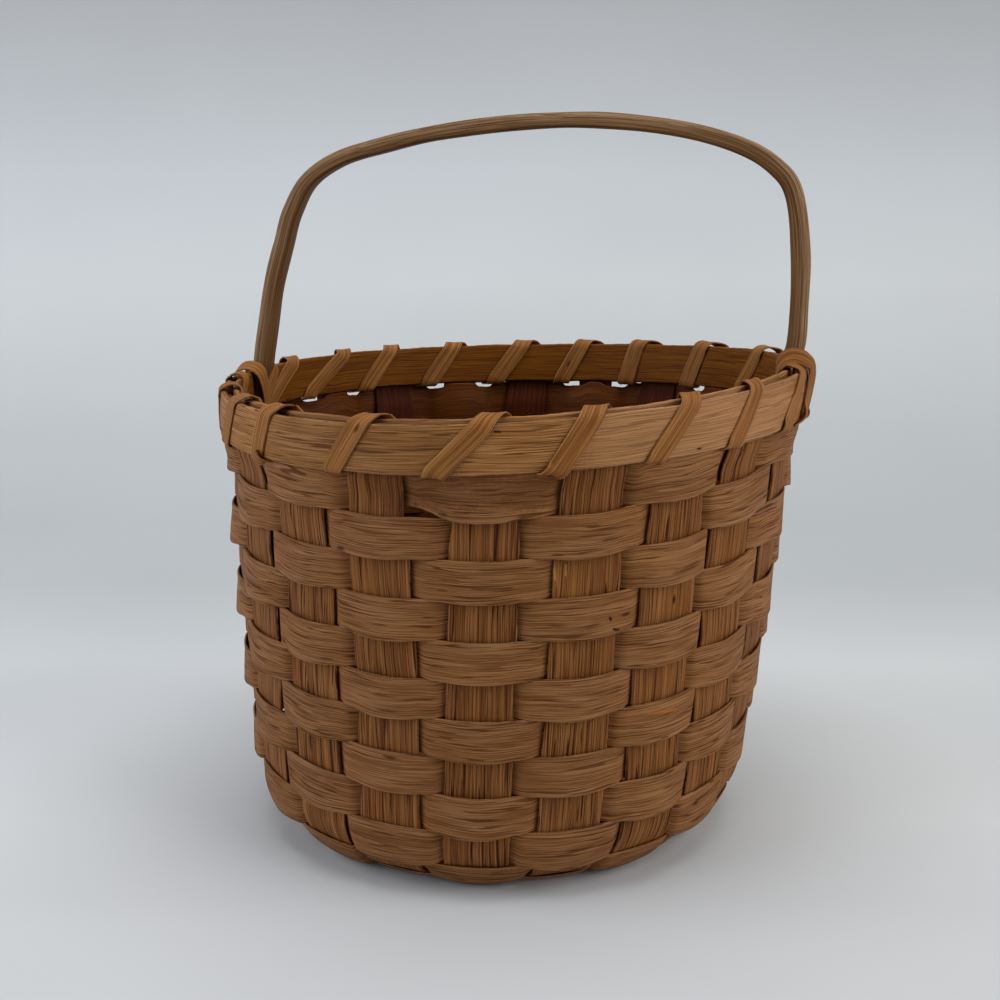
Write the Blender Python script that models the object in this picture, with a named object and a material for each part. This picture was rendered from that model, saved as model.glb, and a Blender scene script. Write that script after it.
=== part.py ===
"""Berry basket of woven wood splints, built as its separate pieces.

Metres, +Z up, the basket stands on z = 0 and its rim is centred on the Z axis.
Ten long splints cross at the middle of the base and turn up as twenty stakes.
Closed rows of plain weave run over and under the stakes on the base, round the turn
and up the wall. The stake tops stand between an inner and an outer rim hoop, and one
splint is wound round the whole rim through the gaps between the stakes. The bent
handle stands in the breaks of the inner hoop and is bound in at each foot.
"""

import math

import bmesh
import bpy
from mathutils import Vector

# Clearance between neighbouring pieces
GAP = 0.0003

# Stakes and long splints
STAKE_COUNT = 20
STAKE_PHASE = math.radians(-94.2)
STAKE_WIDTH = 0.0204
STAKE_THICKNESS = 0.0010
STAKE_SPACING = 0.0036
STAKE_SETBACK = 0.0030
WAIST_WIDTH = 0.0040
WAIST_THICKNESS = 0.0006
WAIST_FLAT = 0.0070
WAIST_END = 0.0230
WALL_STEPS = 5

# How far each stake stands from its even place, as shares of the pitch of the stakes
STAKE_SHIFT_SHARES = (
    0.02, 0.08, 0.04, -0.03, -0.02,
    0.05, 0.11, 0.16, 0.16, 0.10,
    0.03, -0.03, -0.08, -0.11, -0.07,
    -0.03, -0.03, -0.05, -0.03, -0.05)

# Side and base shape, measured on the middle surface of the stakes
FLAT_RADIUS = 0.0605
TURN_RADIUS = 0.0234
WALL_SLOPE = math.radians(5.9)
BELLY = 0.0014
RIM_FLARE = 0.0022
PROBE = 0.0001

# How the handmade shape departs from a true circle
LEAN_X = -0.0061
LEAN_Y = -0.0100
RIM_TILT_SHARE = 0.0357
SADDLE = 0.0016
SADDLE_ANGLE = math.radians(-19.5)

# Weaving
WEAVER_THICKNESS = 0.0008
WEAVER_BULGE = 0.0004
ROW_PITCH = 0.01258
ROW_TOP = 0.1355
ROW_CLEAR = 0.0004
WALL_ROWS = 9
TURN_ROWS = 3
BASE_ROWS = 6
EDGE_CLEAR = 0.0004
LAP_STEP = 0.0007
SEAM_STEP = 3

# Rim hoops
HOOP_HEIGHT = 0.0150
OUTER_HOOP_THICKNESS = 0.0019
INNER_HOOP_THICKNESS = 0.0020
INNER_HOOP_RISE = 0.0008
HOOP_CHAMFER = 0.0008
THIN_CHAMFER_SHARE = 0.25
HOOP_STEPS = 60
HOOP_LAP_STEPS = 4
HOOP_LAP_ANGLE = math.radians(72.0)

# Rim lashing
LASH_WIDTH = 0.0056
LASH_THICKNESS = 0.0008
LASH_CORNER = 0.0012
LASH_TOP_LEAN = math.radians(2.0)
LASH_UNDER_LEAN = math.radians(2.0)
LASH_FOOT_CLEAR = 0.0006
LASH_PROBES = 6
BINDING_CORNER = 0.0018
BINDING_TURN = math.radians(2.5)

# Where each turn of the lashing crosses the rim top, from its gap, as shares of the stake pitch
LASH_CROWN_SHARES = (
    0.56, 0.48, 0.38, 0.44, 0.62,
    0.58, 0.72, 0.74, 0.61, 0.53,
    0.54, 0.51, 0.30, 0.26, 0.70,
    0.48, 0.36, 0.30, 0.42, 0.59)

# Posts of a foot binding inside: turn from foot to crown, height from low to high, as shares
BINDING_RUN_SHARES = (
    (0.30, 0.30),
    (0.70, 0.65))

# Handle
HANDLE_OFFSET = math.radians(0.7)
HANDLE_WIDTH = 0.0080
HANDLE_CHAMFER = 0.0011
HANDLE_SWELL = 0.0029
HANDLE_RISE = 0.0846
HANDLE_TOP_THICKNESS = 0.0052
HANDLE_LEG_THICKNESS = 0.0062
HANDLE_FOOT_THICKNESS = 0.0042
HANDLE_BOW_STEPS = 2
TONGUE_WIDTH = 0.0035
TONGUE_SHIFT = 0.0020
TONGUE_THICKNESS = 0.0018
TONGUE_TIP = 0.0010
TONGUE_CHAMFER = 0.0003
TONGUE_DROP = 0.0025
TONGUE_LENGTH = 0.0366

# Posts of the bow: across as a share of the span, height over the rim as a share of the rise
HANDLE_BOW_SHARES = (
    (-0.950, 0.112),
    (-0.907, 0.368),
    (-0.860, 0.554),
    (-0.823, 0.678),
    (-0.755, 0.800),
    (-0.641, 0.882),
    (-0.491, 0.929),
    (-0.270, 0.975),
    (0.018, 1.000),
    (0.300, 0.992),
    (0.577, 0.941),
    (0.783, 0.863),
    (0.905, 0.774),
    (0.971, 0.663),
    (1.000, 0.429),
    (0.999, 0.194),
    (0.989, 0.089))

# Colours, roughness
STAKE_COLOUR = (0.30, 0.17, 0.08, 1.0)
WEAVER_COLOUR = (0.36, 0.22, 0.11, 1.0)
RIM_COLOUR = (0.42, 0.26, 0.13, 1.0)
LASH_COLOUR = (0.46, 0.29, 0.15, 1.0)
HANDLE_COLOUR = (0.24, 0.13, 0.06, 1.0)
SPLINT_ROUGHNESS = 0.62
HANDLE_ROUGHNESS = 0.48

# Stakes and turn, worked out from the sizes above
STAKE_PITCH = 2.0 * math.pi / STAKE_COUNT
RUN_OFFSET = 0.5 * (STAKE_THICKNESS + WEAVER_THICKNESS) + GAP
BASE_LEVEL = RUN_OFFSET + 0.5 * WEAVER_THICKNESS
TURN_ANGLE = 0.5 * math.pi - WALL_SLOPE
TURN_CENTRE = BASE_LEVEL + TURN_RADIUS
WALL_FOOT = TURN_CENTRE - TURN_RADIUS * math.cos(TURN_ANGLE)
WALL_FOOT_RADIUS = FLAT_RADIUS + TURN_RADIUS * math.sin(TURN_ANGLE)
WALL_ARC = FLAT_RADIUS + TURN_RADIUS * TURN_ANGLE
FLARE_START = ROW_TOP - 0.5 * ROW_PITCH * math.cos(WALL_SLOPE)
FLARE_RADIUS = WALL_FOOT_RADIUS + (FLARE_START - WALL_FOOT) * math.tan(WALL_SLOPE)
SIDE_ROWS = WALL_ROWS + TURN_ROWS
SIDE_TOP = WALL_ARC + (ROW_TOP - WALL_FOOT) / math.cos(WALL_SLOPE)
BASE_EDGE = SIDE_TOP - SIDE_ROWS * ROW_PITCH
BASE_PITCH = (BASE_EDGE - WAIST_END) / BASE_ROWS

# Rim, worked out from the stakes that stand in it
RIM_STAKE_RADIUS = FLARE_RADIUS + RIM_FLARE
LAYER = LASH_THICKNESS + GAP
LASH_STANDOFF = GAP + 0.5 * LASH_THICKNESS
HOOP_TURN = 2.0 * math.pi / HOOP_STEPS
HOOP_LAP = HOOP_LAP_STEPS * HOOP_TURN
HOOP_BOTTOM = ROW_TOP + 2.0 * LAYER + GAP
HOOP_TOP = HOOP_BOTTOM + HOOP_HEIGHT
RIM_FOOT = HOOP_BOTTOM - LASH_STANDOFF
STAKE_TOP = HOOP_TOP - STAKE_SETBACK
STAKE_CORNER = math.hypot(RIM_STAKE_RADIUS + 0.5 * STAKE_THICKNESS, 0.5 * STAKE_WIDTH)
OUTER_HOOP_INSIDE = STAKE_CORNER / math.cos(0.5 * HOOP_TURN) + GAP
OUTER_HOOP_OUTSIDE = OUTER_HOOP_INSIDE + OUTER_HOOP_THICKNESS
INNER_HOOP_OUTSIDE = RIM_STAKE_RADIUS - 0.5 * STAKE_THICKNESS - GAP
INNER_HOOP_INSIDE = INNER_HOOP_OUTSIDE - INNER_HOOP_THICKNESS
WIND_OUT = OUTER_HOOP_OUTSIDE + LASH_STANDOFF
WIND_IN = INNER_HOOP_INSIDE - LASH_STANDOFF
WIND_LOW = HOOP_BOTTOM - LASH_STANDOFF
WIND_HIGH = HOOP_TOP + INNER_HOOP_RISE + LASH_STANDOFF

# Handle feet, worked out from the rim that holds them
FOOT_GAP = STAKE_COUNT // 4 - 1
FOOT_GAPS = (FOOT_GAP, FOOT_GAP + STAKE_COUNT // 2)
FOOT_SHIFT_SHARE = 0.5 * (STAKE_SHIFT_SHARES[FOOT_GAP] + STAKE_SHIFT_SHARES[FOOT_GAP + 1])
HANDLE_ANGLE = STAKE_PHASE + (FOOT_GAP + 0.5 + FOOT_SHIFT_SHARE) * STAKE_PITCH + HANDLE_OFFSET
HANDLE_FOOT_RADIUS = INNER_HOOP_OUTSIDE - GAP - 0.5 * HANDLE_FOOT_THICKNESS
HANDLE_SPAN = HANDLE_FOOT_RADIUS + HANDLE_SWELL
LEG_BREAK = (0.5 * HANDLE_WIDTH + 2.0 * GAP) / INNER_HOOP_INSIDE
LEG_SIDE = (0.5 * HANDLE_WIDTH + LASH_FOOT_CLEAR + 0.5 * LASH_WIDTH) / WIND_IN
LEG_END = HOOP_BOTTOM + GAP
LEG_BEND = STAKE_TOP + 0.5 * HANDLE_CHAMFER
LEG_RIM = HOOP_TOP + STAKE_SETBACK
TONGUE_TOP = HOOP_BOTTOM - GAP
TONGUE_END = TONGUE_TOP - TONGUE_LENGTH


def settle(x, y, z):
    """Turn a place on the true round basket into the place on the leaning handmade one."""
    share = min(1.0, max(0.0, z / HOOP_TOP))
    wave = (x * x - y * y) * math.cos(2.0 * SADDLE_ANGLE) + 2.0 * x * y * math.sin(2.0 * SADDLE_ANGLE)
    lift = RIM_TILT_SHARE * x + SADDLE * wave / (OUTER_HOOP_OUTSIDE * OUTER_HOOP_OUTSIDE)
    lean = 1.0 - share
    return Vector((x + LEAN_X * lean, y + LEAN_Y * lean, z + share * share * lift))


def ease(value):
    """Smooth rise from nought to one."""
    value = min(1.0, max(0.0, value))
    return value * value * (3.0 - 2.0 * value)


def profile(arc):
    """Radius and height of the stake surface at a length out from the base centre."""
    if arc <= FLAT_RADIUS:
        return arc, BASE_LEVEL
    if arc <= WALL_ARC:
        turn = (arc - FLAT_RADIUS) / TURN_RADIUS
        return FLAT_RADIUS + TURN_RADIUS * math.sin(turn), TURN_CENTRE - TURN_RADIUS * math.cos(turn)
    climb = (arc - WALL_ARC) * math.cos(WALL_SLOPE)
    height = WALL_FOOT + climb
    if height >= RIM_FOOT:
        return RIM_STAKE_RADIUS, height
    if height >= FLARE_START:
        share = (height - FLARE_START) / (RIM_FOOT - FLARE_START)
        return FLARE_RADIUS + (RIM_STAKE_RADIUS - FLARE_RADIUS) * share, height
    swell = BELLY * math.sin(math.pi * climb / (FLARE_START - WALL_FOOT))
    return WALL_FOOT_RADIUS + climb * math.tan(WALL_SLOPE) + swell, height


def rib(arc):
    """Radius, height and outward normal of the stake surface at a length from the base centre."""
    radius, height = profile(arc)
    if arc <= FLAT_RADIUS - PROBE:
        return radius, height, 0.0, -1.0
    behind = profile(arc - PROBE)
    ahead = profile(arc + PROBE)
    out = ahead[1] - behind[1]
    up = behind[0] - ahead[0]
    size = math.hypot(out, up)
    return radius, height, out / size, up / size


def arc_at(height):
    """Length out from the base centre at which the wall reaches a height."""
    return WALL_ARC + (height - WALL_FOOT) / math.cos(WALL_SLOPE)


def bearing(stake, arc):
    """Direction in which a stake lies, its own shift growing outwards from the waist."""
    turns, place = divmod(stake, STAKE_COUNT)
    share = ease((arc - WAIST_END) / (FLAT_RADIUS - WAIST_END))
    steps = place + STAKE_SHIFT_SHARES[place] * share
    return STAKE_PHASE + 2.0 * math.pi * turns + steps * STAKE_PITCH


def gap_bearing(gap):
    """Direction of the middle of the gap at the rim after a stake."""
    return 0.5 * (bearing(gap, SIDE_TOP) + bearing(gap + 1, SIDE_TOP))


def stake_width(arc):
    """Width of a stake, narrowed towards the base centre so that the gaps stay open."""
    room = STAKE_PITCH * profile(abs(arc))[0] - STAKE_SPACING
    return max(WAIST_WIDTH, min(STAKE_WIDTH, room))


def on_stake(angle, arc, offset, across):
    """Place at a length, a height off the stake surface and a distance across the stake."""
    side = 1.0
    if arc < 0.0:
        side = -1.0
    radius, height, out, up = rib(abs(arc))
    radius = side * (radius + out * offset)
    return on_ring(angle, radius, height + up * offset, across)


def on_ring(angle, radius, height, across):
    """Place at a radius and height, moved sideways square to the radius."""
    x = radius * math.cos(angle) - across * math.sin(angle)
    y = radius * math.sin(angle) + across * math.cos(angle)
    return x, y, height


def wood(name, colour, roughness):
    """Principled material of one sub-part."""
    material = bpy.data.materials.new(name)
    material.use_nodes = True
    shader = material.node_tree.nodes["Principled BSDF"]
    shader.inputs["Base Color"].default_value = colour
    shader.inputs["Roughness"].default_value = roughness
    shader.inputs["Metallic"].default_value = 0.0
    material.diffuse_color = colour
    return material


def loft(name, sections, colour, roughness, smooth):
    """One closed solid through a row of sections with the same number of points each."""
    mesh = bmesh.new()
    rings = []
    for section in sections:
        rings.append([mesh.verts.new(settle(*point)) for point in section])
    for first, second in zip(rings[:-1], rings[1:]):
        count = len(first)
        for index in range(count):
            after = (index + 1) % count
            mesh.faces.new((first[index], first[after], second[after], second[index]))
    mesh.faces.new(rings[0])
    mesh.faces.new(rings[-1])
    bmesh.ops.recalc_face_normals(mesh, faces=mesh.faces)
    data = bpy.data.meshes.new(name)
    mesh.to_mesh(data)
    mesh.free()
    for polygon in data.polygons:
        polygon.use_smooth = smooth
    item = bpy.data.objects.new(name, data)
    data.materials.append(wood(name + "_wood", colour, roughness))
    BASKET.objects.link(item)
    return item


def splint_arcs():
    """Lengths at which a long splint has a section, from its middle to one top."""
    arcs = [0.0, WAIST_FLAT, 0.5 * (WAIST_FLAT + WAIST_END), WAIST_END, 0.5 * (WAIST_END + BASE_EDGE)]
    for half_row in range(2 * TURN_ROWS + 3):
        arcs.append(BASE_EDGE + 0.5 * half_row * ROW_PITCH)
    wall = arcs[-1]
    for step in range(1, WALL_STEPS + 1):
        arcs.append(wall + (arc_at(FLARE_START) - wall) * step / WALL_STEPS)
    arcs.append(arc_at(RIM_FOOT))
    arcs.append(arc_at(STAKE_TOP))
    return arcs


def long_splints():
    """Ten splints stacked at the waisted middle, each turned up as two stakes."""
    half_count = STAKE_COUNT // 2
    arcs = splint_arcs()
    run = [-arc for arc in reversed(arcs[1:])] + arcs
    for index in range(half_count):
        level = (index % 2) * (half_count // 2) + index // 2
        stack = level * (WAIST_THICKNESS + GAP)
        sections = []
        for arc in run:
            angle = bearing(index, arc)
            if arc < 0.0:
                angle = bearing(index + half_count, -arc) - math.pi
            spread = 1.0 - min(1.0, max(0.0, (abs(arc) - WAIST_FLAT) / (WAIST_END - WAIST_FLAT)))
            rise = stack * spread
            wide = 0.5 * stake_width(arc)
            half = 0.5 * (STAKE_THICKNESS + (WAIST_THICKNESS - STAKE_THICKNESS) * spread)
            section = []
            for offset, across in ((half, -wide), (half, wide), (-half, wide), (-half, -wide)):
                x, y, z = on_stake(angle, arc, offset, across)
                section.append((x, y, z + rise))
            sections.append(section)
        loft("long_splint_%02d" % (index + 1), sections, STAKE_COLOUR, SPLINT_ROUGHNESS, False)


def strip_section(angle, arcs, inner, outer, across):
    """Section of a weaver: along its outer face one way, back along its inner face."""
    points = [on_stake(angle, arc, outer, across) for arc in arcs]
    points += [on_stake(angle, arc, inner, across) for arc in reversed(arcs)]
    return points


def weave_row(name, arcs, seam):
    """One row of plain weave whose thinned ends lap behind the stake of the seam."""
    reach = 0.5 * max(stake_width(arcs[0]), stake_width(arcs[-1])) + EDGE_CLEAR
    half = 0.5 * WEAVER_THICKNESS
    split = 0.5 * GAP
    run = -RUN_OFFSET
    tip = reach - GAP
    bulge = WEAVER_BULGE
    if arcs[0] < FLAT_RADIUS:
        bulge = 0.0
    middle = 0.5 * (arcs[0] + arcs[-1])
    centre = bearing(seam, middle)
    sections = []
    for across in (-tip, 0.0, tip, reach + GAP):
        sections.append(strip_section(centre, arcs, run - half, run - split, across))
    sections.append(strip_section(centre, arcs, run - half, run + half, reach + LAP_STEP))
    for step in range(1, STAKE_COUNT):
        angle = bearing(seam + step, middle)
        side = 1.0
        if step % 2 == 0:
            side = -1.0
        for across, lift in ((-reach, 0.0), (0.0, bulge), (reach, 0.0)):
            place = side * (RUN_OFFSET + lift)
            sections.append(strip_section(angle, arcs, place - half, place + half, across))
    sections.append(strip_section(centre, arcs, run - half, run + half, -reach - LAP_STEP))
    for across in (-reach - GAP, -tip, 0.0, tip):
        sections.append(strip_section(centre, arcs, run + split, run + half, across))
    loft(name, sections, WEAVER_COLOUR, SPLINT_ROUGHNESS, False)


def weave_all():
    """Rows up the wall, round the turn and over the base, shifted by one stake row by row."""
    wide = 0.5 * (ROW_PITCH - ROW_CLEAR)
    for row in range(SIDE_ROWS):
        arc = SIDE_TOP - (row + 0.5) * ROW_PITCH
        arcs = (arc - wide, arc + wide)
        if row == 0 or row >= WALL_ROWS - 1:
            arcs = (arc - wide, arc, arc + wide)
        name = "wall_row_%02d" % (row + 1)
        if row >= WALL_ROWS:
            name = "turn_row_%02d" % (row + 1 - WALL_ROWS)
        weave_row(name, arcs, 2 * SEAM_STEP * row + (row + 1) % 2)
    wide = 0.5 * (BASE_PITCH - ROW_CLEAR)
    for row in range(BASE_ROWS):
        arc = BASE_EDGE - (row + 0.5) * BASE_PITCH
        seam = 2 * SEAM_STEP * row + (row + SIDE_ROWS + 1) % 2
        weave_row("base_row_%02d" % (row + 1), (arc - wide, arc + wide), seam)


def band(angle, inside, outside, low, cut, outward):
    """Upright band section with the two corners of its showing face taken off."""
    high = low + HOOP_HEIGHT
    if outward:
        outline = ((inside, low), (outside - cut, low), (outside, low + cut),
                   (outside, high - cut), (outside - cut, high), (inside, high))
    else:
        outline = ((outside, low), (outside, high), (inside + cut, high),
                   (inside, high - cut), (inside, low + cut), (inside + cut, low))
    return [on_ring(angle, radius, height, 0.0) for radius, height in outline]


def outer_hoop():
    """Outer rim hoop: one splint once round, its two thinned ends lapped at the back."""
    middle = OUTER_HOOP_INSIDE + 0.5 * OUTER_HOOP_THICKNESS
    slip = GAP / OUTER_HOOP_INSIDE
    thin_cut = THIN_CHAMFER_SHARE * HOOP_CHAMFER
    whole = 2.0 * math.pi
    under = (OUTER_HOOP_INSIDE, middle - 0.5 * GAP, thin_cut)
    full = (OUTER_HOOP_INSIDE, OUTER_HOOP_OUTSIDE, HOOP_CHAMFER)
    over = (middle + 0.5 * GAP, OUTER_HOOP_OUTSIDE, thin_cut)
    stops = [(slip, under)]
    stops += [(step * HOOP_TURN, under) for step in range(1, HOOP_LAP_STEPS + 1)]
    stops.append((HOOP_LAP + slip, full))
    stops += [(step * HOOP_TURN, full) for step in range(HOOP_LAP_STEPS + 1, HOOP_STEPS)]
    stops += [(whole - slip, full), (whole, over)]
    stops += [(whole + step * HOOP_TURN, over) for step in range(1, HOOP_LAP_STEPS)]
    stops.append((whole + HOOP_LAP - slip, over))
    sections = []
    for angle, (inside, outside, cut) in stops:
        sections.append(band(HOOP_LAP_ANGLE + angle, inside, outside, HOOP_BOTTOM, cut, True))
    loft("rim_outer_hoop", sections, RIM_COLOUR, SPLINT_ROUGHNESS, False)


def inner_hoops():
    """Inner rim hoop in two halves, each from one handle leg round to the other."""
    reach = math.pi - 2.0 * LEG_BREAK
    steps = HOOP_STEPS // 2
    low = HOOP_BOTTOM + INNER_HOOP_RISE
    halves = (("rim_inner_hoop_back", HANDLE_ANGLE), ("rim_inner_hoop_front", HANDLE_ANGLE - math.pi))
    for name, begin in halves:
        sections = []
        for step in range(steps + 1):
            angle = begin + LEG_BREAK + reach * step / steps
            sections.append(band(angle, INNER_HOOP_INSIDE, INNER_HOOP_OUTSIDE, low, HOOP_CHAMFER, False))
        loft(name, sections, RIM_COLOUR, SPLINT_ROUGHNESS, False)


def wound(angle, radius, height, out, up):
    """Section of a wound strip: its width along the rim, its thickness along (out, up)."""
    off = 0.5 * LASH_THICKNESS * out
    lift = 0.5 * LASH_THICKNESS * up
    wide = 0.5 * LASH_WIDTH
    return [on_ring(angle, radius + off, height + lift, -wide),
            on_ring(angle, radius + off, height + lift, wide),
            on_ring(angle, radius - off, height - lift, wide),
            on_ring(angle, radius - off, height - lift, -wide)]


def least_gap(sections, apart):
    """Least distance between probed places of a strip that lie some sections apart along it."""
    runs = []
    for first, second in zip(sections[:-1], sections[1:]):
        places = []
        for probe in range(LASH_PROBES):
            share = probe / LASH_PROBES
            ring = [Vector(a).lerp(Vector(b), share) for a, b in zip(first, second)]
            places += ring
            places += [ring[0].lerp(ring[1], 0.5), ring[2].lerp(ring[3], 0.5)]
        runs.append(places)
    least = math.inf
    for index, places in enumerate(runs):
        for other in runs[index + apart:index + STAKE_COUNT]:
            for place in places:
                least = min(least, min((place - point).length for point in other))
    return least


def rim_lashing():
    """One strip wound round both hoops, once through every gap between two stakes."""
    corner = LASH_CORNER
    sections = []
    for turn in range(STAKE_COUNT):
        gap = gap_bearing(turn)
        begin = gap + 0.5 * LASH_UNDER_LEAN
        top = gap + LASH_CROWN_SHARES[turn] * STAKE_PITCH - 0.5 * LASH_TOP_LEAN
        rim_in = top + LASH_TOP_LEAN
        bottom = gap_bearing(turn + 1) - 0.5 * LASH_UNDER_LEAN
        if turn + 1 in FOOT_GAPS:
            bottom = HANDLE_ANGLE + math.pi * FOOT_GAPS.index(turn + 1) - LEG_SIDE
        sections.append(wound(begin, WIND_OUT - corner, WIND_LOW, 0.0, -1.0))
        sections.append(wound(begin, WIND_OUT, WIND_LOW + corner, 1.0, 0.0))
        sections.append(wound(0.5 * (begin + top), WIND_OUT, 0.5 * (WIND_LOW + WIND_HIGH), 1.0, 0.0))
        sections.append(wound(top, WIND_OUT, WIND_HIGH - corner, 1.0, 0.0))
        sections.append(wound(top, WIND_OUT - corner, WIND_HIGH, 0.0, 1.0))
        sections.append(wound(rim_in, WIND_IN + corner, WIND_HIGH, 0.0, 1.0))
        sections.append(wound(rim_in, WIND_IN, WIND_HIGH - corner, -1.0, 0.0))
        sections.append(wound(bottom, WIND_IN, WIND_LOW + corner, -1.0, 0.0))
        if turn < STAKE_COUNT - 1:
            sections.append(wound(bottom, WIND_IN + corner, WIND_LOW, 0.0, -1.0))
    print("least gap of the rim lashing to itself, mm: %.2f" % (1000.0 * least_gap(sections, 3)))
    loft("rim_lashing", sections, LASH_COLOUR, SPLINT_ROUGHNESS, False)


def handle_bindings():
    """One strip at each foot, over the leg inside and crossing the rim lashing outside."""
    leg_face = HANDLE_FOOT_RADIUS - 0.5 * HANDLE_FOOT_THICKNESS - LASH_STANDOFF
    outside = WIND_OUT + LAYER
    low = WIND_LOW - LAYER
    corner = LASH_CORNER
    wide_corner = BINDING_CORNER
    rise = WIND_HIGH - low
    for number, name in enumerate(("handle_binding_right", "handle_binding_left")):
        foot = HANDLE_ANGLE + math.pi * number - BINDING_TURN
        crown = HANDLE_ANGLE + math.pi * number + LEG_SIDE
        shape = [
            (foot, HANDLE_FOOT_RADIUS + 0.5 * HANDLE_FOOT_THICKNESS, low, 0.0, -1.0),
            (foot, leg_face + corner, low, 0.0, -1.0),
            (foot, leg_face, low + corner, -1.0, 0.0)]
        for turn, climb in BINDING_RUN_SHARES:
            shape.append((foot + turn * (crown - foot), leg_face, low + climb * rise, -1.0, 0.0))
        shape += [
            (crown, leg_face, WIND_HIGH - wide_corner, -1.0, 0.0),
            (crown, WIND_IN + corner, WIND_HIGH, 0.0, 1.0),
            (crown, WIND_OUT - corner, WIND_HIGH, 0.0, 1.0),
            (crown, outside, WIND_HIGH - wide_corner, 1.0, 0.0),
            (0.5 * (foot + crown), outside, 0.5 * (WIND_HIGH + low), 1.0, 0.0),
            (foot, outside, low + wide_corner, 1.0, 0.0),
            (foot, outside - wide_corner, low, 0.0, -1.0),
            (foot, OUTER_HOOP_INSIDE + 0.5 * OUTER_HOOP_THICKNESS, low, 0.0, -1.0)]
        sections = [wound(*stop) for stop in shape]
        loft(name, sections, LASH_COLOUR, SPLINT_ROUGHNESS, False)


def curve_points(posts, steps):
    """Places on a smooth curve through the posts."""
    first = [2.0 * a - b for a, b in zip(posts[0], posts[1])]
    last = [2.0 * a - b for a, b in zip(posts[-1], posts[-2])]
    line = [Vector(post) for post in [first] + list(posts) + [last]]
    places = []
    for index in range(1, len(line) - 2):
        before, here, there, beyond = line[index - 1:index + 3]
        for step in range(steps):
            share = step / steps
            place = here + 0.5 * share * (there - before)
            place += share * share * (before - 2.5 * here + 2.0 * there - 0.5 * beyond)
            place += 0.5 * share ** 3 * (3.0 * here - before - 3.0 * there + beyond)
            places.append(place)
    places.append(line[-2])
    return places


def handle_path():
    """Middle line of the handle in its own upright plane: sideways, height, thickness."""
    leg = HANDLE_LEG_THICKNESS
    foot = HANDLE_FOOT_THICKNESS
    posts = [(across * HANDLE_SPAN, HOOP_TOP + rise * HANDLE_RISE) for across, rise in HANDLE_BOW_SHARES]
    path = [(-HANDLE_FOOT_RADIUS, LEG_END, foot), (-HANDLE_FOOT_RADIUS, LEG_BEND, foot)]
    path.append((0.5 * (posts[0][0] - HANDLE_FOOT_RADIUS), LEG_RIM, 0.5 * (leg + foot)))
    for place in curve_points(posts, HANDLE_BOW_STEPS):
        share = ease(2.0 * (place.y - HOOP_TOP) / HANDLE_RISE - 1.0)
        path.append((place.x, place.y, leg + (HANDLE_TOP_THICKNESS - leg) * share))
    path.append((0.5 * (posts[-1][0] + HANDLE_FOOT_RADIUS), LEG_RIM, 0.5 * (leg + foot)))
    path += [(HANDLE_FOOT_RADIUS, LEG_BEND, foot), (HANDLE_FOOT_RADIUS, LEG_END, foot)]
    return path


def bevelled(across, height, thickness, tangent, width, shift, cut):
    """Bevelled section square to the path of the handle."""
    half = 0.5 * thickness
    wide = 0.5 * width
    outline = ((-half, -wide + cut), (-half + cut, -wide), (half - cut, -wide), (half, -wide + cut),
               (half, wide - cut), (half - cut, wide), (-half + cut, wide), (-half, wide - cut))
    points = []
    for off, side in outline:
        run = across + tangent.y * off
        points.append(on_ring(HANDLE_ANGLE, run, height - tangent.x * off, side + shift))
    return points


def tongue(side):
    """Sections of the thin end of one leg, from its tip up, lying inside the woven wall."""
    stops = (
        (TONGUE_END, TONGUE_TIP),
        (0.5 * (TONGUE_END + FLARE_START), TONGUE_THICKNESS),
        (FLARE_START, TONGUE_THICKNESS),
        (TONGUE_TOP - TONGUE_DROP, TONGUE_THICKNESS),
        (TONGUE_TOP, TONGUE_THICKNESS))
    sections = []
    for height, thickness in stops:
        wall = profile(arc_at(height))[0] - RUN_OFFSET - 0.5 * WEAVER_THICKNESS - WEAVER_BULGE - GAP
        if height == TONGUE_TOP:
            wall = HANDLE_FOOT_RADIUS
        middle = side * (wall - 0.5 * thickness)
        along = Vector((0.0, -side))
        sections.append(bevelled(middle, height, thickness, along, TONGUE_WIDTH,
                                 side * TONGUE_SHIFT, TONGUE_CHAMFER))
    return sections


def handle():
    """Bent handle: a bevelled bow whose legs thin into the rim and end in tongues inside the wall."""
    path = handle_path()
    last = len(path) - 1
    sections = tongue(-1.0)
    for index, (across, height, thickness) in enumerate(path):
        before = path[max(0, index - 1)]
        after = path[min(last, index + 1)]
        along = Vector((after[0] - before[0], after[1] - before[1])).normalized()
        sections.append(bevelled(across, height, thickness, along, HANDLE_WIDTH, 0.0, HANDLE_CHAMFER))
    sections += list(reversed(tongue(1.0)))
    loft("handle", sections, HANDLE_COLOUR, HANDLE_ROUGHNESS, True)


def clear_scene():
    """Take out whatever objects the file starts with."""
    for item in list(bpy.data.objects):
        bpy.data.objects.remove(item)


clear_scene()
BASKET = bpy.data.collections.new("berry_basket")
bpy.context.scene.collection.children.link(BASKET)
long_splints()
weave_all()
outer_hoop()
inner_hoops()
rim_lashing()
handle_bindings()
handle()
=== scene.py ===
"""Looks of the berry basket of woven wood splints.

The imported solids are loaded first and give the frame: metres, +Z up, the rim centred on
the Z axis, the front towards -Y. Every solid is then stood for by a finer piece in the
same place: splints with rounded, slightly uneven edges, weavers that spring over and
under the stakes, hoops, a wound lashing that folds over the rim, and the bent handle.
Each piece carries its own straightened coordinates in the attribute "lay" (along the
grain, across it, through it), so that the grain of its wood follows its bends.
"""

import logging
import math
from dataclasses import dataclass, field
from enum import Enum

import bpy
import numpy as np
from mathutils import Matrix, Vector


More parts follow.
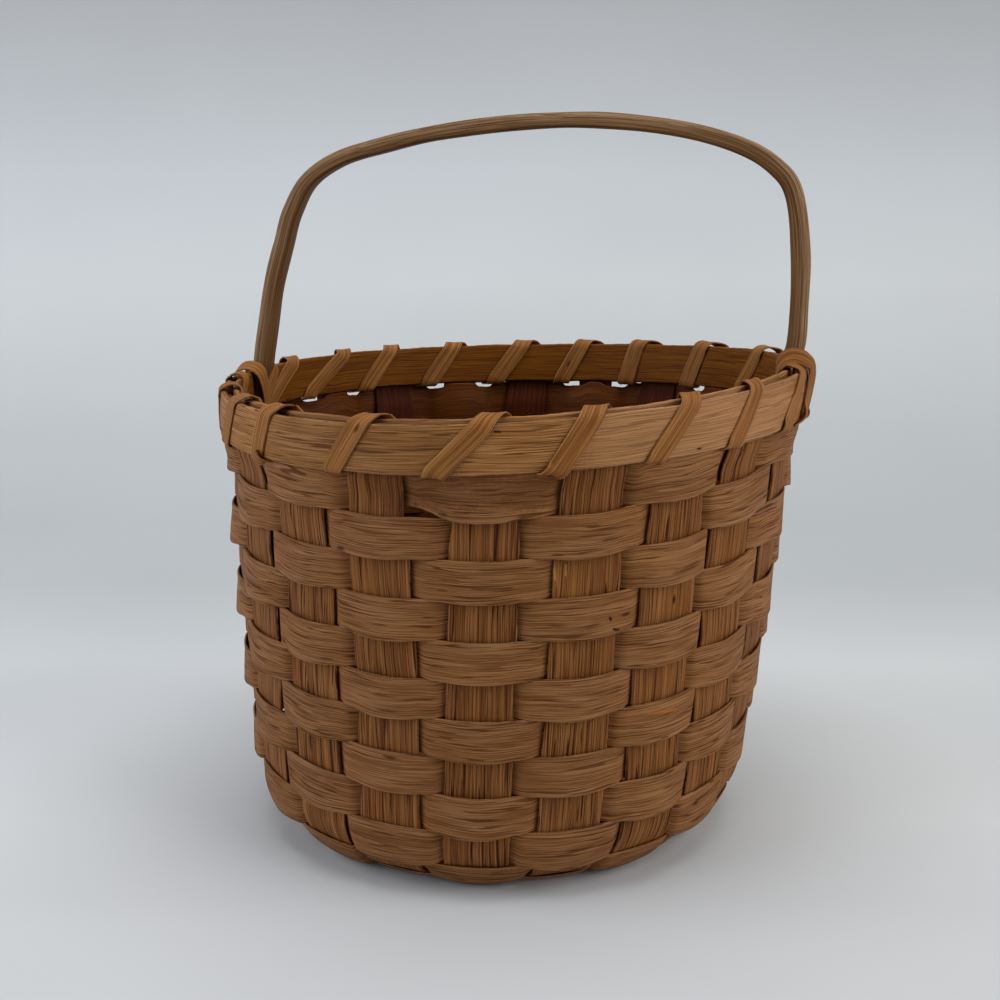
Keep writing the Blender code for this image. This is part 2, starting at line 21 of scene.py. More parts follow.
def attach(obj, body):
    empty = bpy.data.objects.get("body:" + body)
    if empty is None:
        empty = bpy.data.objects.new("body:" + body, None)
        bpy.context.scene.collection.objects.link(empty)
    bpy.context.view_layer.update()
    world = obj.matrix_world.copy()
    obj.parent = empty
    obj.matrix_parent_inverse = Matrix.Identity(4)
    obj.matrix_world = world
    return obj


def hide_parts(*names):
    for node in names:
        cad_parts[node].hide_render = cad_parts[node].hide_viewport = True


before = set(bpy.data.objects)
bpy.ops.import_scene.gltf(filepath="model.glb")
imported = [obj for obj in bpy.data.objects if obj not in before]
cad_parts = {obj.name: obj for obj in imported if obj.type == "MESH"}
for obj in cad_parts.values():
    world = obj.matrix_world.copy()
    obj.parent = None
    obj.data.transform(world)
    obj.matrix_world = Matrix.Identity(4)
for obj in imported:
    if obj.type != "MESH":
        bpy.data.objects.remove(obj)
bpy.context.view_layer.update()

Array = np.ndarray
Colour = tuple[float, float, float]
LOG = logging.getLogger("berry_basket")


class Slot(Enum):
    """Material slots of the record, one for each kind of wood on the basket."""

    STAKE = "stake_splint"
    WEAVER = "weaver_splint"
    RIM = "rim_splint"
    LASHING = "lashing_splint"
    HANDLE = "handle_wood"


# Shape helpers


def ease(share: Array) -> Array:
    """Smooth rise from nought to one: three times the square less twice the cube."""
    share = np.clip(share, 0.0, 1.0)
    return share * share * (3.0 - 2.0 * share)


def wander(seed: int, along: Array, period: float, size: float) -> Array:
    """Small uneven drift of handmade work: the mean of six sines whose lengths lie round a period.

    Args:
        seed: Number that picks the phases.
        along: Lengths at which the drift is wanted.
        period: Typical length of one swing.
        size: Typical height of a swing.

    Returns:
        The drift at each length.
    """
    rng = np.random.default_rng(seed)
    pace = rng.uniform(0.5, 2.1, 6)[:, None]
    phase = rng.uniform(0.0, 2.0 * math.pi, 6)[:, None]
    flat = np.asarray(along, float).ravel()[None, :]
    waves = np.sin(2.0 * math.pi * pace * flat / period + phase)
    return (1.7 * size * waves.mean(axis=0)).reshape(np.shape(along))


def soften(values: Array, reach: int) -> Array:
    """Average along the first axis with a bell weight, the ends held.

    Args:
        values: Row of numbers along a piece.
        reach: Number of neighbours on each side.

    Returns:
        The softened row, of the same length.
    """
    steps = np.arange(-reach, reach + 1)
    weight = np.exp(-2.0 * (steps / max(1, reach)) ** 2)
    weight /= weight.sum()
    padded = np.pad(values, reach, mode="edge")
    return np.convolve(padded, weight, mode="valid")


def unit(vectors: Array) -> Array:
    """The vectors divided by their lengths."""
    size = np.linalg.norm(vectors, axis=-1, keepdims=True)
    return vectors / np.maximum(size, 1e-12)


def lengths(points: Array) -> Array:
    """Running length along a row of points, nought at the first."""
    steps = np.linalg.norm(np.diff(points, axis=0), axis=1)
    return np.concatenate([[0.0], np.cumsum(steps)])


def curve(posts: Array, steps: int) -> Array:
    """Smooth row through posts: on each stretch the cubic whose ends head along the neighbours' chord.

    Args:
        posts: Posts, one per row, with any number of values each.
        steps: Samples per stretch.

    Returns:
        The rows of the curve, the last post included.
    """
    posts = np.asarray(posts, float)
    line = np.concatenate([2.0 * posts[:1] - posts[1:2], posts, 2.0 * posts[-1:] - posts[-2:-1]])
    before, here, there, beyond = line[:-3], line[1:-2], line[2:-1], line[3:]
    share = np.linspace(0.0, 1.0, steps, endpoint=False)[None, :, None]
    before, here, there, beyond = (part[:, None, :] for part in (before, here, there, beyond))
    row = here + 0.5 * share * (there - before)
    row = row + share ** 2 * (before - 2.5 * here + 2.0 * there - 0.5 * beyond)
    row = row + 0.5 * share ** 3 * (3.0 * here - before - 3.0 * there + beyond)
    return np.concatenate([row.reshape(-1, posts.shape[1]), posts[-1:]])


@dataclass(frozen=True)
class Section:
    """Flat section with rounded edges, walked once round.

    Attributes:
        inner_places: Places on each face between its two edges, as shares of the half width.
        corner_points: Points on each quarter round.
        round_share: Radius of the quarter rounds as a share of half the thickness.
    """

    inner_places: tuple[float, ...] = (-0.94, -0.75, -0.5, -0.25, 0.0, 0.25, 0.5, 0.75, 0.94)
    corner_points: int = 3
    round_share: float = 0.75

    def spread(self, width: Array, thickness: Array) -> tuple[Array, Array, Array]:
        """Turn widths and thicknesses into points: half size less radius, plus the radius along an arc.

        Args:
            width: Width at each ring.
            thickness: Thickness at each ring.

        Returns:
            Distance across, distance through and place from edge to edge, for rings by points.
        """
        quarter = np.linspace(0.0, 0.5 * math.pi, self.corner_points)
        faces = np.array(self.inner_places)
        none = np.zeros_like(faces)
        ones = np.ones(self.corner_points)
        side = np.concatenate([-ones, faces, ones, ones, faces[::-1], -ones])
        layer = np.concatenate([ones, none + 1.0, ones, -ones, none - 1.0, -ones])
        arc_side = np.concatenate([-np.cos(quarter), none, np.sin(quarter), np.cos(quarter),
                                   none, -np.sin(quarter)])
        arc_layer = np.concatenate([np.sin(quarter), none + 1.0, np.cos(quarter), -np.sin(quarter),
                                    none - 1.0, -np.cos(quarter)])
        radius = (0.5 * self.round_share * thickness)[:, None]
        across = side * (0.5 * width[:, None] - radius) + arc_side * radius
        through = layer * (0.5 * thickness[:, None] - radius) + arc_layer * radius
        return across, through, np.clip(across / (0.5 * width[:, None]), -1.0, 1.0)


class Shell:
    """Closed solids that are gathered into one mesh, each given as rings of points."""

    def __init__(self) -> None:
        """Start with nothing in the shell."""
        self.points: list[Array] = []
        self.lay: list[Array] = []
        self.wear: list[Array] = []
        self.corners: list[Array] = []
        self.sizes: list[Array] = []
        self.count = 0

    def add(self, rings: Array, lay: Array, wear: Array) -> None:
        """Add one solid: quads between neighbouring rings and one face over each end.

        The sum of the tetrahedra from the origin to each half quad tells if the solid is
        inside out, and its faces are then turned.

        Args:
            rings: Points, rings by points by three.
            lay: Straightened coordinates of the same shape.
            wear: Share of wear, rings by points.
        """
        count, around, _ = rings.shape
        index = np.arange(count * around).reshape(count, around)
        after = np.roll(index, -1, axis=1)
        quads = np.stack([index[:-1], after[:-1], after[1:], index[1:]], axis=-1).reshape(-1, 4)
        flat = rings.reshape(-1, 3)
        first, second, third, fourth = (flat[quads[:, corner]] for corner in range(4))
        volume = np.einsum("ij,ij->", first, np.cross(second, third))
        volume += np.einsum("ij,ij->", first, np.cross(third, fourth))
        start, end = index[0][::-1], index[-1]
        if volume < 0.0:
            quads, start, end = quads[:, ::-1], start[::-1], end[::-1]
        self.corners.append(np.concatenate([quads.ravel(), start, end]) + self.count)
        self.sizes.append(np.concatenate([np.full(len(quads), 4), [around, around]]))
        self.points.append(flat)
        self.lay.append(lay.reshape(-1, 3))
        self.wear.append(np.broadcast_to(wear, (count, around)).reshape(-1))
        self.count += count * around

    def build(self, name: str, slot: Slot, nodes: tuple[str, ...]) -> bpy.types.Object:
        """Make the object, let it ride and stand for its solids.

        Args:
            name: Name of the piece.
            slot: Material slot that it takes its finish from.
            nodes: Solids that it stands for.

        Returns:
            The new object, at the origin.
        """
        corners = np.concatenate(self.corners).astype(np.int32)
        sizes = np.concatenate(self.sizes)
        starts = np.concatenate([[0], np.cumsum(sizes)[:-1]]).astype(np.int32)
        mesh = bpy.data.meshes.new(name)
        mesh.vertices.add(self.count)
        mesh.vertices.foreach_set("co", np.concatenate(self.points).astype(np.float32).ravel())
        mesh.loops.add(len(corners))
        mesh.loops.foreach_set("vertex_index", corners)
        mesh.polygons.add(len(sizes))
        mesh.polygons.foreach_set("loop_start", starts)
        mesh.update(calc_edges=True)
        mesh.polygons.foreach_set("use_smooth", sizes == 4)
        lay = mesh.attributes.new("lay", "FLOAT_VECTOR", "POINT")
        lay.data.foreach_set("vector", np.concatenate(self.lay).astype(np.float32).ravel())
        wear = mesh.attributes.new("wear", "FLOAT", "POINT")
        wear.data.foreach_set("value", np.concatenate(self.wear).astype(np.float32))
        mesh.validate()
        item = bpy.data.objects.new(name, mesh)
        bpy.context.scene.collection.objects.link(item)
        mesh.materials.append(Finishes.of(slot))
        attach(item, "root")
        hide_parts(*nodes)
        LOG.info("%s: %d faces", name, len(sizes))
        return item


def ribbon(shell: Shell, centre: Array, normal: Array, width: Array, thickness: Array,
           section: Section, start: float, cup: float = 0.0) -> None:
    """Carry a flat section along a path: centre plus across times the side plus through times the normal.

    The side is the cross product of the normal and the path's heading, and the normal is then
    made square to both.

    Args:
        shell: Shell that the solid goes into.
        centre: Path of the middle of the splint.
        normal: Direction in which its face looks, along the path.
        width: Width along the path.
        thickness: Thickness along the path.
        section: Section that is carried.
        start: Grain coordinate of the path's first point.
        cup: How far the middle of the face stands out over its edges.
    """
    heading = unit(np.gradient(centre, axis=0))
    side = unit(np.cross(normal, heading))
    square = unit(np.cross(heading, side))
    across, through, place = section.spread(width, thickness)
    raised = through + cup * (1.0 - place ** 2)
    rings = centre[:, None, :] + across[..., None] * side[:, None, :] + raised[..., None] * square[:, None, :]
    along = np.broadcast_to(lengths(centre)[:, None] + start, across.shape)
    shell.add(rings, np.stack([along, across, through], axis=-1), np.abs(place) ** 6)


# The basket's form


@dataclass(frozen=True)
class Form:
    """Side and base of the basket on the middle surface of the stakes, as the solids have them."""

    gap: float = 0.0003
    stakes: int = 20
    phase: float = math.radians(-94.2)
    stake_width: float = 0.0204
    stake_thickness: float = 0.0010
    stake_spacing: float = 0.0036
    waist_width: float = 0.0040
    waist_thickness: float = 0.0006
    waist_flat: float = 0.0070
    waist_end: float = 0.0230
    flat_radius: float = 0.0605
    turn_radius: float = 0.0234
    slope: float = math.radians(5.9)
    belly: float = 0.0014
    rim_flare: float = 0.0022
    probe: float = 0.0001
    lean_x: float = -0.0061
    lean_y: float = -0.0100
    rim_tilt: float = 0.0357
    saddle: float = 0.0016
    saddle_angle: float = math.radians(-19.5)
    weaver_thickness: float = 0.0008
    row_pitch: float = 0.01258
    row_top: float = 0.1355
    wall_rows: int = 9
    turn_rows: int = 3
    base_rows: int = 6
    hoop_height: float = 0.0150
    outer_hoop: float = 0.0019
    inner_hoop: float = 0.0020
    inner_rise: float = 0.0008
    lash_thickness: float = 0.0008
    stake_setback: float = 0.0030
    shifts: tuple[float, ...] = (
        0.02, 0.08, 0.04, -0.03, -0.02, 0.05, 0.11, 0.16, 0.16, 0.10,
        0.03, -0.03, -0.08, -0.11, -0.07, -0.03, -0.03, -0.05, -0.03, -0.05)
    drift_rows: tuple[float, ...] = (-1.0, 1.5, 3.5, 5.5, 7.5, 9.5, 11.0, 14.0)
    drifts: tuple[tuple[int, tuple[float, ...]], ...] = (
        (17, (-0.3, -0.4, 1.3, 1.6, -0.9, -2.2, -1.5, 0.0)),
        (18, (-0.5, -1.1, 0.8, 0.7, -0.2, -0.5, -0.6, 0.0)),
        (19, (-0.5, -1.0, 0.1, 0.9, 0.7, 0.4, -1.5, 0.0)),
        (1, (-0.2, -0.5, -0.3, -0.1, 0.0, 0.4, 1.4, 0.0)),
        (2, (-0.1, -0.4, -0.6, -0.3, 0.6, 2.2, 1.6, 0.0)),
        (3, (-0.6, -1.6, -2.3, -0.6, 1.2, 2.6, 1.8, 0.0)),
        (4, (0.6, 1.8, -0.5, -1.0, 0.2, 0.6, 0.4, 0.0)),
        (8, (0.2, 0.5, -0.6, 0.4, 0.9, -0.5, 0.3, 0.0)),
        (10, (-0.3, 0.6, 0.4, -0.7, -0.4, 0.8, 0.2, 0.0)),
        (13, (0.1, -0.7, 0.3, 0.8, -0.6, -0.9, 0.0, 0.0)))

    def __post_init__(self) -> None:
        """Work out the sizes that follow from the named ones."""
        put = lambda name, value: object.__setattr__(self, name, value)
        put("pitch", 2.0 * math.pi / self.stakes)
        put("run", 0.5 * (self.stake_thickness + self.weaver_thickness) + self.gap)
        put("base_level", self.run + 0.5 * self.weaver_thickness)
        put("turn_angle", 0.5 * math.pi - self.slope)
        put("turn_centre", self.base_level + self.turn_radius)
        put("wall_foot", self.turn_centre - self.turn_radius * math.cos(self.turn_angle))
        put("wall_radius", self.flat_radius + self.turn_radius * math.sin(self.turn_angle))
        put("wall_arc", self.flat_radius + self.turn_radius * self.turn_angle)
        put("flare_start", self.row_top - 0.5 * self.row_pitch * math.cos(self.slope))
        put("flare_radius", self.wall_radius + (self.flare_start - self.wall_foot) * math.tan(self.slope))
        put("side_rows", self.wall_rows + self.turn_rows)
        put("side_top", self.wall_arc + (self.row_top - self.wall_foot) / math.cos(self.slope))
        put("base_edge", self.side_top - self.side_rows * self.row_pitch)
        put("base_pitch", (self.base_edge - self.waist_end) / self.base_rows)
        put("rim_radius", self.flare_radius + self.rim_flare)
        put("hoop_bottom", self.row_top + 2.0 * (self.lash_thickness + self.gap) + self.gap)
        put("hoop_top", self.hoop_bottom + self.hoop_height)
        put("rim_foot", self.hoop_bottom - self.gap - 0.5 * self.lash_thickness)
        put("stake_top", self.hoop_top - self.stake_setback)
        corner = math.hypot(self.rim_radius + 0.5 * self.stake_thickness, 0.5 * self.stake_width)
        put("outer_inside", corner + self.gap)
        put("outer_outside", self.outer_inside + self.outer_hoop)
        put("inner_outside", self.rim_radius - 0.5 * self.stake_thickness - self.gap)
        put("inner_inside", self.inner_outside - self.inner_hoop)

    def settle(self, points: Array) -> Array:
        """Turn places on the true round basket into places on the leaning handmade one.

        The lean fades with height, and the rim's tilt and saddle grow with the square of it.

        Args:
            points: Places, the last axis x, y, z.

        Returns:
            The settled places.
        """
        x, y, z = points[..., 0], points[..., 1], points[..., 2]
        share = np.clip(z / self.hoop_top, 0.0, 1.0)
        double = 2.0 * self.saddle_angle
        wave = (x * x - y * y) * math.cos(double) + 2.0 * x * y * math.sin(double)
        lift = self.rim_tilt * x + self.saddle * wave / self.outer_outside ** 2
        lean = 1.0 - share
        return np.stack([x + self.lean_x * lean, y + self.lean_y * lean, z + share * share * lift], axis=-1)

    def profile(self, arc: Array) -> tuple[Array, Array]:
        """Radius and height at a length out from the base centre: flat, quarter turn, wall, flare.

        Args:
            arc: Lengths along the stake.

        Returns:
            Radii and heights.
        """
        turn = np.clip((arc - self.flat_radius) / self.turn_radius, 0.0, self.turn_angle)
        climb = np.maximum(arc - self.wall_arc, 0.0) * math.cos(self.slope)
        radius = np.minimum(arc, self.flat_radius) + self.turn_radius * np.sin(turn)
        height = self.base_level + self.turn_radius * (1.0 - np.cos(turn)) + climb
        whole = self.flare_start - self.wall_foot
        rise = np.minimum(climb, whole)
        radius = radius + rise * math.tan(self.slope) + self.belly * np.sin(math.pi * rise / whole)
        share = (height - self.flare_start) / (self.rim_foot - self.flare_start)
        return radius + self.rim_flare * ease(share), height

    def rib(self, arc: Array) -> tuple[Array, Array, Array, Array]:
        """Radius, height and outward normal: the normal is square to the profile a little either way.

        Args:
            arc: Lengths along the stake, nought or more.

        Returns:
            Radius, height, and the normal's radial and upright parts.
        """
        radius, height = self.profile(arc)
        behind = self.profile(np.maximum(arc - self.probe, 0.0))
        ahead = self.profile(arc + self.probe)
        out = ahead[1] - behind[1]
        up = behind[0] - ahead[0]
        size = np.hypot(out, up)
        return radius, height, out / size, up / size

    def row_of(self, arc: Array) -> Array:
        """Row number at a length, counted down from the rim, 0 at the middle of the first."""
        return (self.side_top - arc) / self.row_pitch - 0.5

    def arc_at(self, height: float) -> float:
        """Length out from the base centre at which the wall reaches a height."""
        return self.wall_arc + (height - self.wall_foot) / math.cos(self.slope)

    def bearing(self, stake: int, arc: Array, true: bool = False) -> Array:
        """Direction in which a stake lies: its even place, its own shift, and how it wanders.

        Args:
            stake: Number of the stake, any whole number.
            arc: Lengths along it.
            true: Leave the wandering out, as at the rim.

        Returns:
            Angles in radians.
        """
        turns, place = divmod(stake, self.stakes)
        share = ease((arc - self.waist_end) / (self.flat_radius - self.waist_end))
        angle = self.phase + (self.stakes * turns + place + self.shifts[place] * share) * self.pitch
        drift = dict(self.drifts).get(place)
        if true or drift is None:
            return angle
        row = self.row_of(arc) + 1.0
        return angle + np.radians(np.interp(row, self.drift_rows, drift))

    def gap_bearing(self, gap: int) -> float:
        """Direction of the middle of the gap at the rim after a stake."""
        top = np.array(self.side_top)
        return float(0.5 * (self.bearing(gap, top, True) + self.bearing(gap + 1, top, True)))

    def width(self, arc: Array) -> Array:
        """Width of a stake, narrowed towards the base centre so that the gaps stay open."""
        room = self.pitch * self.profile(np.abs(arc))[0] - self.stake_spacing
        return np.clip(room, self.waist_width, self.stake_width)

    def on_ring(self, angle: Array, radius: Array, height: Array, across: Array = 0.0) -> Array:
        """Settled place at a radius and height, moved sideways square to the radius."""
        x = radius * np.cos(angle) - across * np.sin(angle)
        y = radius * np.sin(angle) + across * np.cos(angle)
        return self.settle(np.stack(np.broadcast_arrays(x, y, height), axis=-1))


# Sub-assemblies


@dataclass(frozen=True)
class Stakes:
    """Ten long splints stacked at the waisted middle, each turned up as two stakes."""

    form: Form
    section: Section = Section()
    samples: int = 210
    press: float = 0.00018
    crown: float = 0.00012
    edge_drift: float = 0.00028
    edge_rough: float = 0.00009
    slim_row: float = 1.2
    slims: dict[int, float] = field(default_factory=lambda: {
        0: 0.06, 19: 0.10, 1: 0.08, 2: 0.05, 3: 0.12, 7: 0.20, 8: 0.24, 9: 0.32, 10: 0.22, 11: 0.34, 12: 0.22, 13: 0.26})

    def rings(self, index: int, flip: bool) -> tuple[Array, Array, Array]:
        """Half of one long splint, from the waist to a stake's top.

        Over each row the stake is pressed in by the weaver that covers it and springs out
        where it shows: minus the press times the cosine of pi times row plus stake.

        Args:
            index: Number of the stake.
            flip: Whether the half points away from the splint's own direction.

        Returns:
            Points, straightened coordinates and wear.
        """
        form = self.form
        top = form.arc_at(form.stake_top)
        arc = np.linspace(0.0, top, self.samples)
        angle = form.bearing(index, arc)
        level = (index % 10 % 2) * 5 + index % 10 // 2
        spread = 1.0 - np.clip((arc - form.waist_flat) / (form.waist_end - form.waist_flat), 0.0, 1.0)
        rise = level * (form.waist_thickness + form.gap) * spread
        width = form.width(arc) * (1.0 + 0.012 * np.sin(arc * 210.0 + index))
        width = width * (1.0 - self.slims.get(index, 0.0) * ease((self.slim_row - form.row_of(arc)) / 0.8))
        thick = form.stake_thickness + (form.waist_thickness - form.stake_thickness) * spread
        across, through, place = self.section.spread(width, thick)
        row = form.row_of(arc)
        woven = ease(row + 0.9) * ease(form.side_rows - row)
        bend = -self.press * np.cos(math.pi * (row + index)) * woven
        left = wander(index * 7 + 1, arc, 0.05, self.edge_drift) + wander(index + 90, arc, 0.006, self.edge_rough)
        right = wander(index * 7 + 2, arc, 0.05, self.edge_drift) + wander(index + 130, arc, 0.006, self.edge_rough)
        free = (1.0 - spread) * ease((form.rim_foot - form.profile(arc)[1]) / 0.004)
        sway = np.where(place < 0.0, left[:, None], right[:, None]) * np.abs(place) ** 3 * free[:, None]
        wide = across + sway
        lift = through + bend[:, None] + self.crown * (1.0 - place ** 2) * woven[:, None]
        radius, height, out, up = form.rib(arc)
        radius = radius[:, None] + out[:, None] * lift
        height = height[:, None] + up[:, None] * lift + rise[:, None]
        points = form.on_ring(angle[:, None], radius, height, wide)
        side = -1.0 if flip else 1.0
        along = np.broadcast_to(side * arc[:, None] + 1.3 * (index % 10) + 0.5, wide.shape)
        lay = np.stack([along, side * wide, through], axis=-1)
        wear = np.clip(0.5 * np.abs(place) ** 8 + 0.35 * (0.5 + bend[:, None] / (2.0 * self.press)), 0.0, 1.0)
        return points, lay, wear

    def make(self) -> None:
        """Join the two halves of each splint at its middle and put the ten pieces in the scene."""
        half = self.form.stakes // 2
        flip = Section().spread(np.ones(1), np.full(1, 0.1))[0].shape[1]
        order = self.mirror_order(flip)
        for index in range(half):
            points, lay, wear = self.rings(index, False)
            far_points, far_lay, far_wear = self.rings(index + half, True)
            shell = Shell()
            shell.add(np.concatenate([far_points[:0:-1][:, order], points]),
                      np.concatenate([far_lay[:0:-1][:, order], lay]),
                      np.concatenate([far_wear[:0:-1][:, order], wear]))
            name = "long_splint_%02d" % (index + 1)
            shell.build("stakes_" + name[-2:], Slot.STAKE, (name,))

    def mirror_order(self, around: int) -> Array:
        """Order in which the far half's points run, so that left meets right at the middle."""
        across, through, _ = self.section.spread(np.ones(1), np.full(1, 0.1))
        here = np.stack([across[0], through[0]], axis=-1)
        there = np.stack([-across[0], through[0]], axis=-1)
        return np.argmin(np.linalg.norm(here[:, None] - there[None], axis=-1), axis=1)


@dataclass(frozen=True)
class Weaving:
    """Closed rows of plain weave up the wall, round the turn and over the base."""

    form: Form
    section: Section = Section(inner_places=(-0.95, -0.8, -0.55, -0.28, 0.0, 0.28, 0.55, 0.8, 0.95))
    samples: int = 30
    clear: float = 0.0
    edge_clear: float = 0.0004
    tuck_all: float = 0.0007
    tuck_face: float = 0.0017
    tuck_behind: float = 0.0009
    spring: float = 0.00125
    flare: float = 0.0009
    widen: float = 0.045
    sag: float = 0.00050
    edge_rough: float = 0.00007
    edge_drift: float = 0.00010
    lap: float = 0.45
    seam_step: int = 3
    floor_room: float = 0.0016
    dive: float = 4.0
    glide: float = 0.25
    fold: float = 0.0030
    fold_turn: float = 18.74
    fold_reach: float = 0.32
    ride: tuple[float, float, float] = (0.0013, 0.0005, 0.0042)
    ride_rows: tuple[float, float] = (8.0, 11.5)

    def swing(self, row: int, arc: float, seam: int, spring: float) -> dict[str, Array]:
        """Path of a row round the basket, on the samples of every gap between two stakes.

        Over a stake the weaver stands off by its run plus a parabola that is nought at the
        stake's edges. In the gap a straight line plus a fourth power joins the two edges, so
        that the weaver stays out in front for long and dives beside the stake that hides it.

        Args:
            row: Number of the row.
            arc: Length at its middle.
            seam: Stake behind which its ends lap.
            spring: How far it springs off a stake's middle.

        Returns:
            Angle, extra radius, stand-off, turn count and length along, for every sample.
        """
        form = self.form
        radius = float(form.profile(np.array(arc))[0])
        stakes = np.arange(seam - 1, seam + form.stakes + 2)
        bearings = np.array([float(form.bearing(int(stake), np.array(arc))) for stake in stakes])
        side = np.where((stakes - seam) % 2 == 1, 1.0, -1.0)
        rng = np.random.default_rng(500 + row)
        lively = 1.0 + 0.30 * rng.uniform(-1.0, 1.0, form.stakes)
        springs = spring * lively[stakes % form.stakes]
        reach = 0.5 * float(form.width(np.array(arc))) + self.edge_clear
        end = reach / (radius * form.pitch)
        turn = np.arange(-end, form.stakes + end, 1.0 / self.samples)
        turn = np.append(turn, form.stakes + end)
        here = np.floor(turn).astype(int)
        share = turn - here
        here = here + 1
        step = radius * (bearings[here + 1] - bearings[here])
        ahead = share * step
        behind = step - ahead
        room = np.maximum(step - 2.0 * reach, 1e-4)
        blend = np.clip((ahead - reach) / room, 0.0, 1.0)
        late = np.where(side[here] > 0.0, blend ** self.dive, 1.0 - (1.0 - blend) ** self.dive)
        drop = self.glide * blend + (1.0 - self.glide) * late
        cross = side[here] * form.run * (1.0 - 2.0 * drop)
        over_here = side[here] * (form.run + springs[here] * (1.0 - (ahead / reach) ** 2))
        over_next = side[here + 1] * (form.run + springs[here + 1] * (1.0 - (behind / reach) ** 2))
        off = np.where(ahead < reach, over_here, np.where(behind < reach, over_next, cross))
        near = np.minimum(np.minimum(ahead, behind), reach)
        edge = math.atan(reach / radius)
        angle = np.where(ahead < reach, bearings[here] + np.arctan(ahead / radius),
                         np.where(behind < reach, bearings[here + 1] - np.arctan(behind / radius),
                                  (bearings[here] + edge) * (1.0 - blend) + (bearings[here + 1] - edge) * blend))
        flat = radius * (1.0 / np.cos(np.arctan(near / radius)) - 1.0)
        return {"angle": soften(angle, 2), "flat": soften(flat, 3), "off": soften(off, 2),
                "turn": turn, "along": radius * (angle - angle[0]), "end": np.full(1, end)}

    def riding(self, row: Array, angle: Array) -> Array:
        """How much higher the handmade rows ride than even ones.

        A parabola of the sideways place, full at the front, nought at the back and from the turn on.

        Args:
            row: Row numbers, with fractions.
            angle: Angles round the basket.

        Returns:
            Lengths up along the wall.
        """
        even, tilt, saddle = self.ride
        last, gone = self.ride_rows
        side = np.cos(angle)
        front = ease(0.5 - 0.9 * np.sin(angle))
        return (even + tilt * side + saddle * side ** 2) * front * np.clip((gone - row) / (gone - last), 0.0, 1.0)

    def row(self, row: int, name: str, arc: float, pitch: float, seam: int) -> None:
        """One row of weave as a closed strip whose thinned ends lap behind the stake of its seam.

        Args:
            row: Number of the row.
            name: Name of the solid that it stands for.
            arc: Length at its middle.
            pitch: Height that it takes up.
            seam: Stake of its seam.
        """
        form = self.form
        side_row = row < form.side_rows
        spring = self.spring if row < form.wall_rows else (0.6 * self.spring if side_row else 0.0)
        swing = self.swing(row, arc, seam, spring)
        off, along, turn = swing["off"], swing["along"], swing["turn"]
        lift = off / (form.run + self.spring)
        over = np.clip(lift, 0.0, 1.0) if side_row else np.zeros_like(lift)
        first = ease((float(swing["end"][0]) + 0.02 - turn) / 0.05)
        last = ease((turn - form.stakes + float(swing["end"][0]) + 0.02) / 0.05)
        thick = form.weaver_thickness * (1.0 - (1.0 - self.lap) * (first + last))
        off = off + 0.27 * form.weaver_thickness * (last - first)
        width = np.full(len(turn), pitch - self.clear) * (1.0 + self.widen * over)
        across, through, place = self.section.spread(width, thick)
        small = 1.0 if side_row else 0.5
        top = wander(row * 11 + 3, along, 0.045, self.edge_drift) + wander(row + 300, along, 0.004, self.edge_rough)
        low = wander(row * 11 + 4, along, 0.045, self.edge_drift) + wander(row + 400, along, 0.004, self.edge_rough)
        across = across + small * np.where(place > 0.0, top[:, None], low[:, None]) * np.abs(place) ** 3
        held = np.clip(off, -form.run, form.run)[:, None]
        bulge = (off - held[:, 0]) / self.spring
        level = arc - small * self.sag * bulge * (1.0 if side_row else 0.0)
        place_arc = level[:, None] + across
        place_arc = place_arc + self.riding(form.row_of(place_arc), swing["angle"][:, None])
        free = (off[:, None] - held) + 0.00010 * (1.0 - place ** 2) * np.sign(off)[:, None] * small
        free = free - self.flare * over[:, None] * np.minimum(place, 0.6) * (1.0 if side_row else 0.0)
        if row == 0:
            raised = self.tuck_all + self.tuck_face * ease(np.where(lift > 0.0, lift / 0.5, (-lift - 0.80) / 0.12))
            raised = raised + self.tuck_behind * ease((lift - 0.55) / 0.35)
            place_arc = place_arc + raised[:, None] * (0.5 + 0.5 * place)
            folded = self.fold * ease((self.fold_turn - turn) / self.fold_reach) * (turn > self.fold_turn - 0.7)
            place_arc = place_arc + folded[:, None] * (0.5 - 0.5 * place) ** 1.5
            tucked = over[:, None] * ease(place)
            free = free * (1.0 - tucked) - form.gap * tucked
        radius, height, out, up = form.rib(place_arc)
        room = (height - form.base_level * -up) / np.maximum(-up, 0.05)
        free = np.where(free > 0.0, free * np.clip(room / self.floor_room, 0.0, 1.0), free)
        stand = held + through + free
        points = form.on_ring(swing["angle"][:, None], radius + out * stand + swing["flat"][:, None],
                              height + up * stand)
        lay = np.stack([np.broadcast_to(along[:, None] + 1.9 * row + 20.0, across.shape), across, through], axis=-1)
        wear = np.clip(0.45 * np.abs(place) ** 8 + 0.5 * over[:, None] ** 2, 0.0, 1.0)
        shell = Shell()
        shell.add(points, lay, wear)
        shell.build("weave_" + name, Slot.WEAVER, (name,))

    def make(self) -> None:
        """Put every row in the scene, from the rim down to the middle of the base."""
        form = self.form
        for row in range(form.side_rows):
            name = "wall_row_%02d" % (row + 1)
            if row >= form.wall_rows:
                name = "turn_row_%02d" % (row + 1 - form.wall_rows)
            seam = (2 * self.seam_step * row + (row + 1) % 2) % form.stakes
            self.row(row, name, form.side_top - (row + 0.5) * form.row_pitch, form.row_pitch, seam)
        for row in range(form.base_rows):
            seam = (2 * self.seam_step * row + (row + form.side_rows + 1) % 2) % form.stakes
            arc = form.base_edge - (row + 0.5) * form.base_pitch
            self.row(form.side_rows + row, "base_row_%02d" % (row + 1), arc, form.base_pitch, seam)


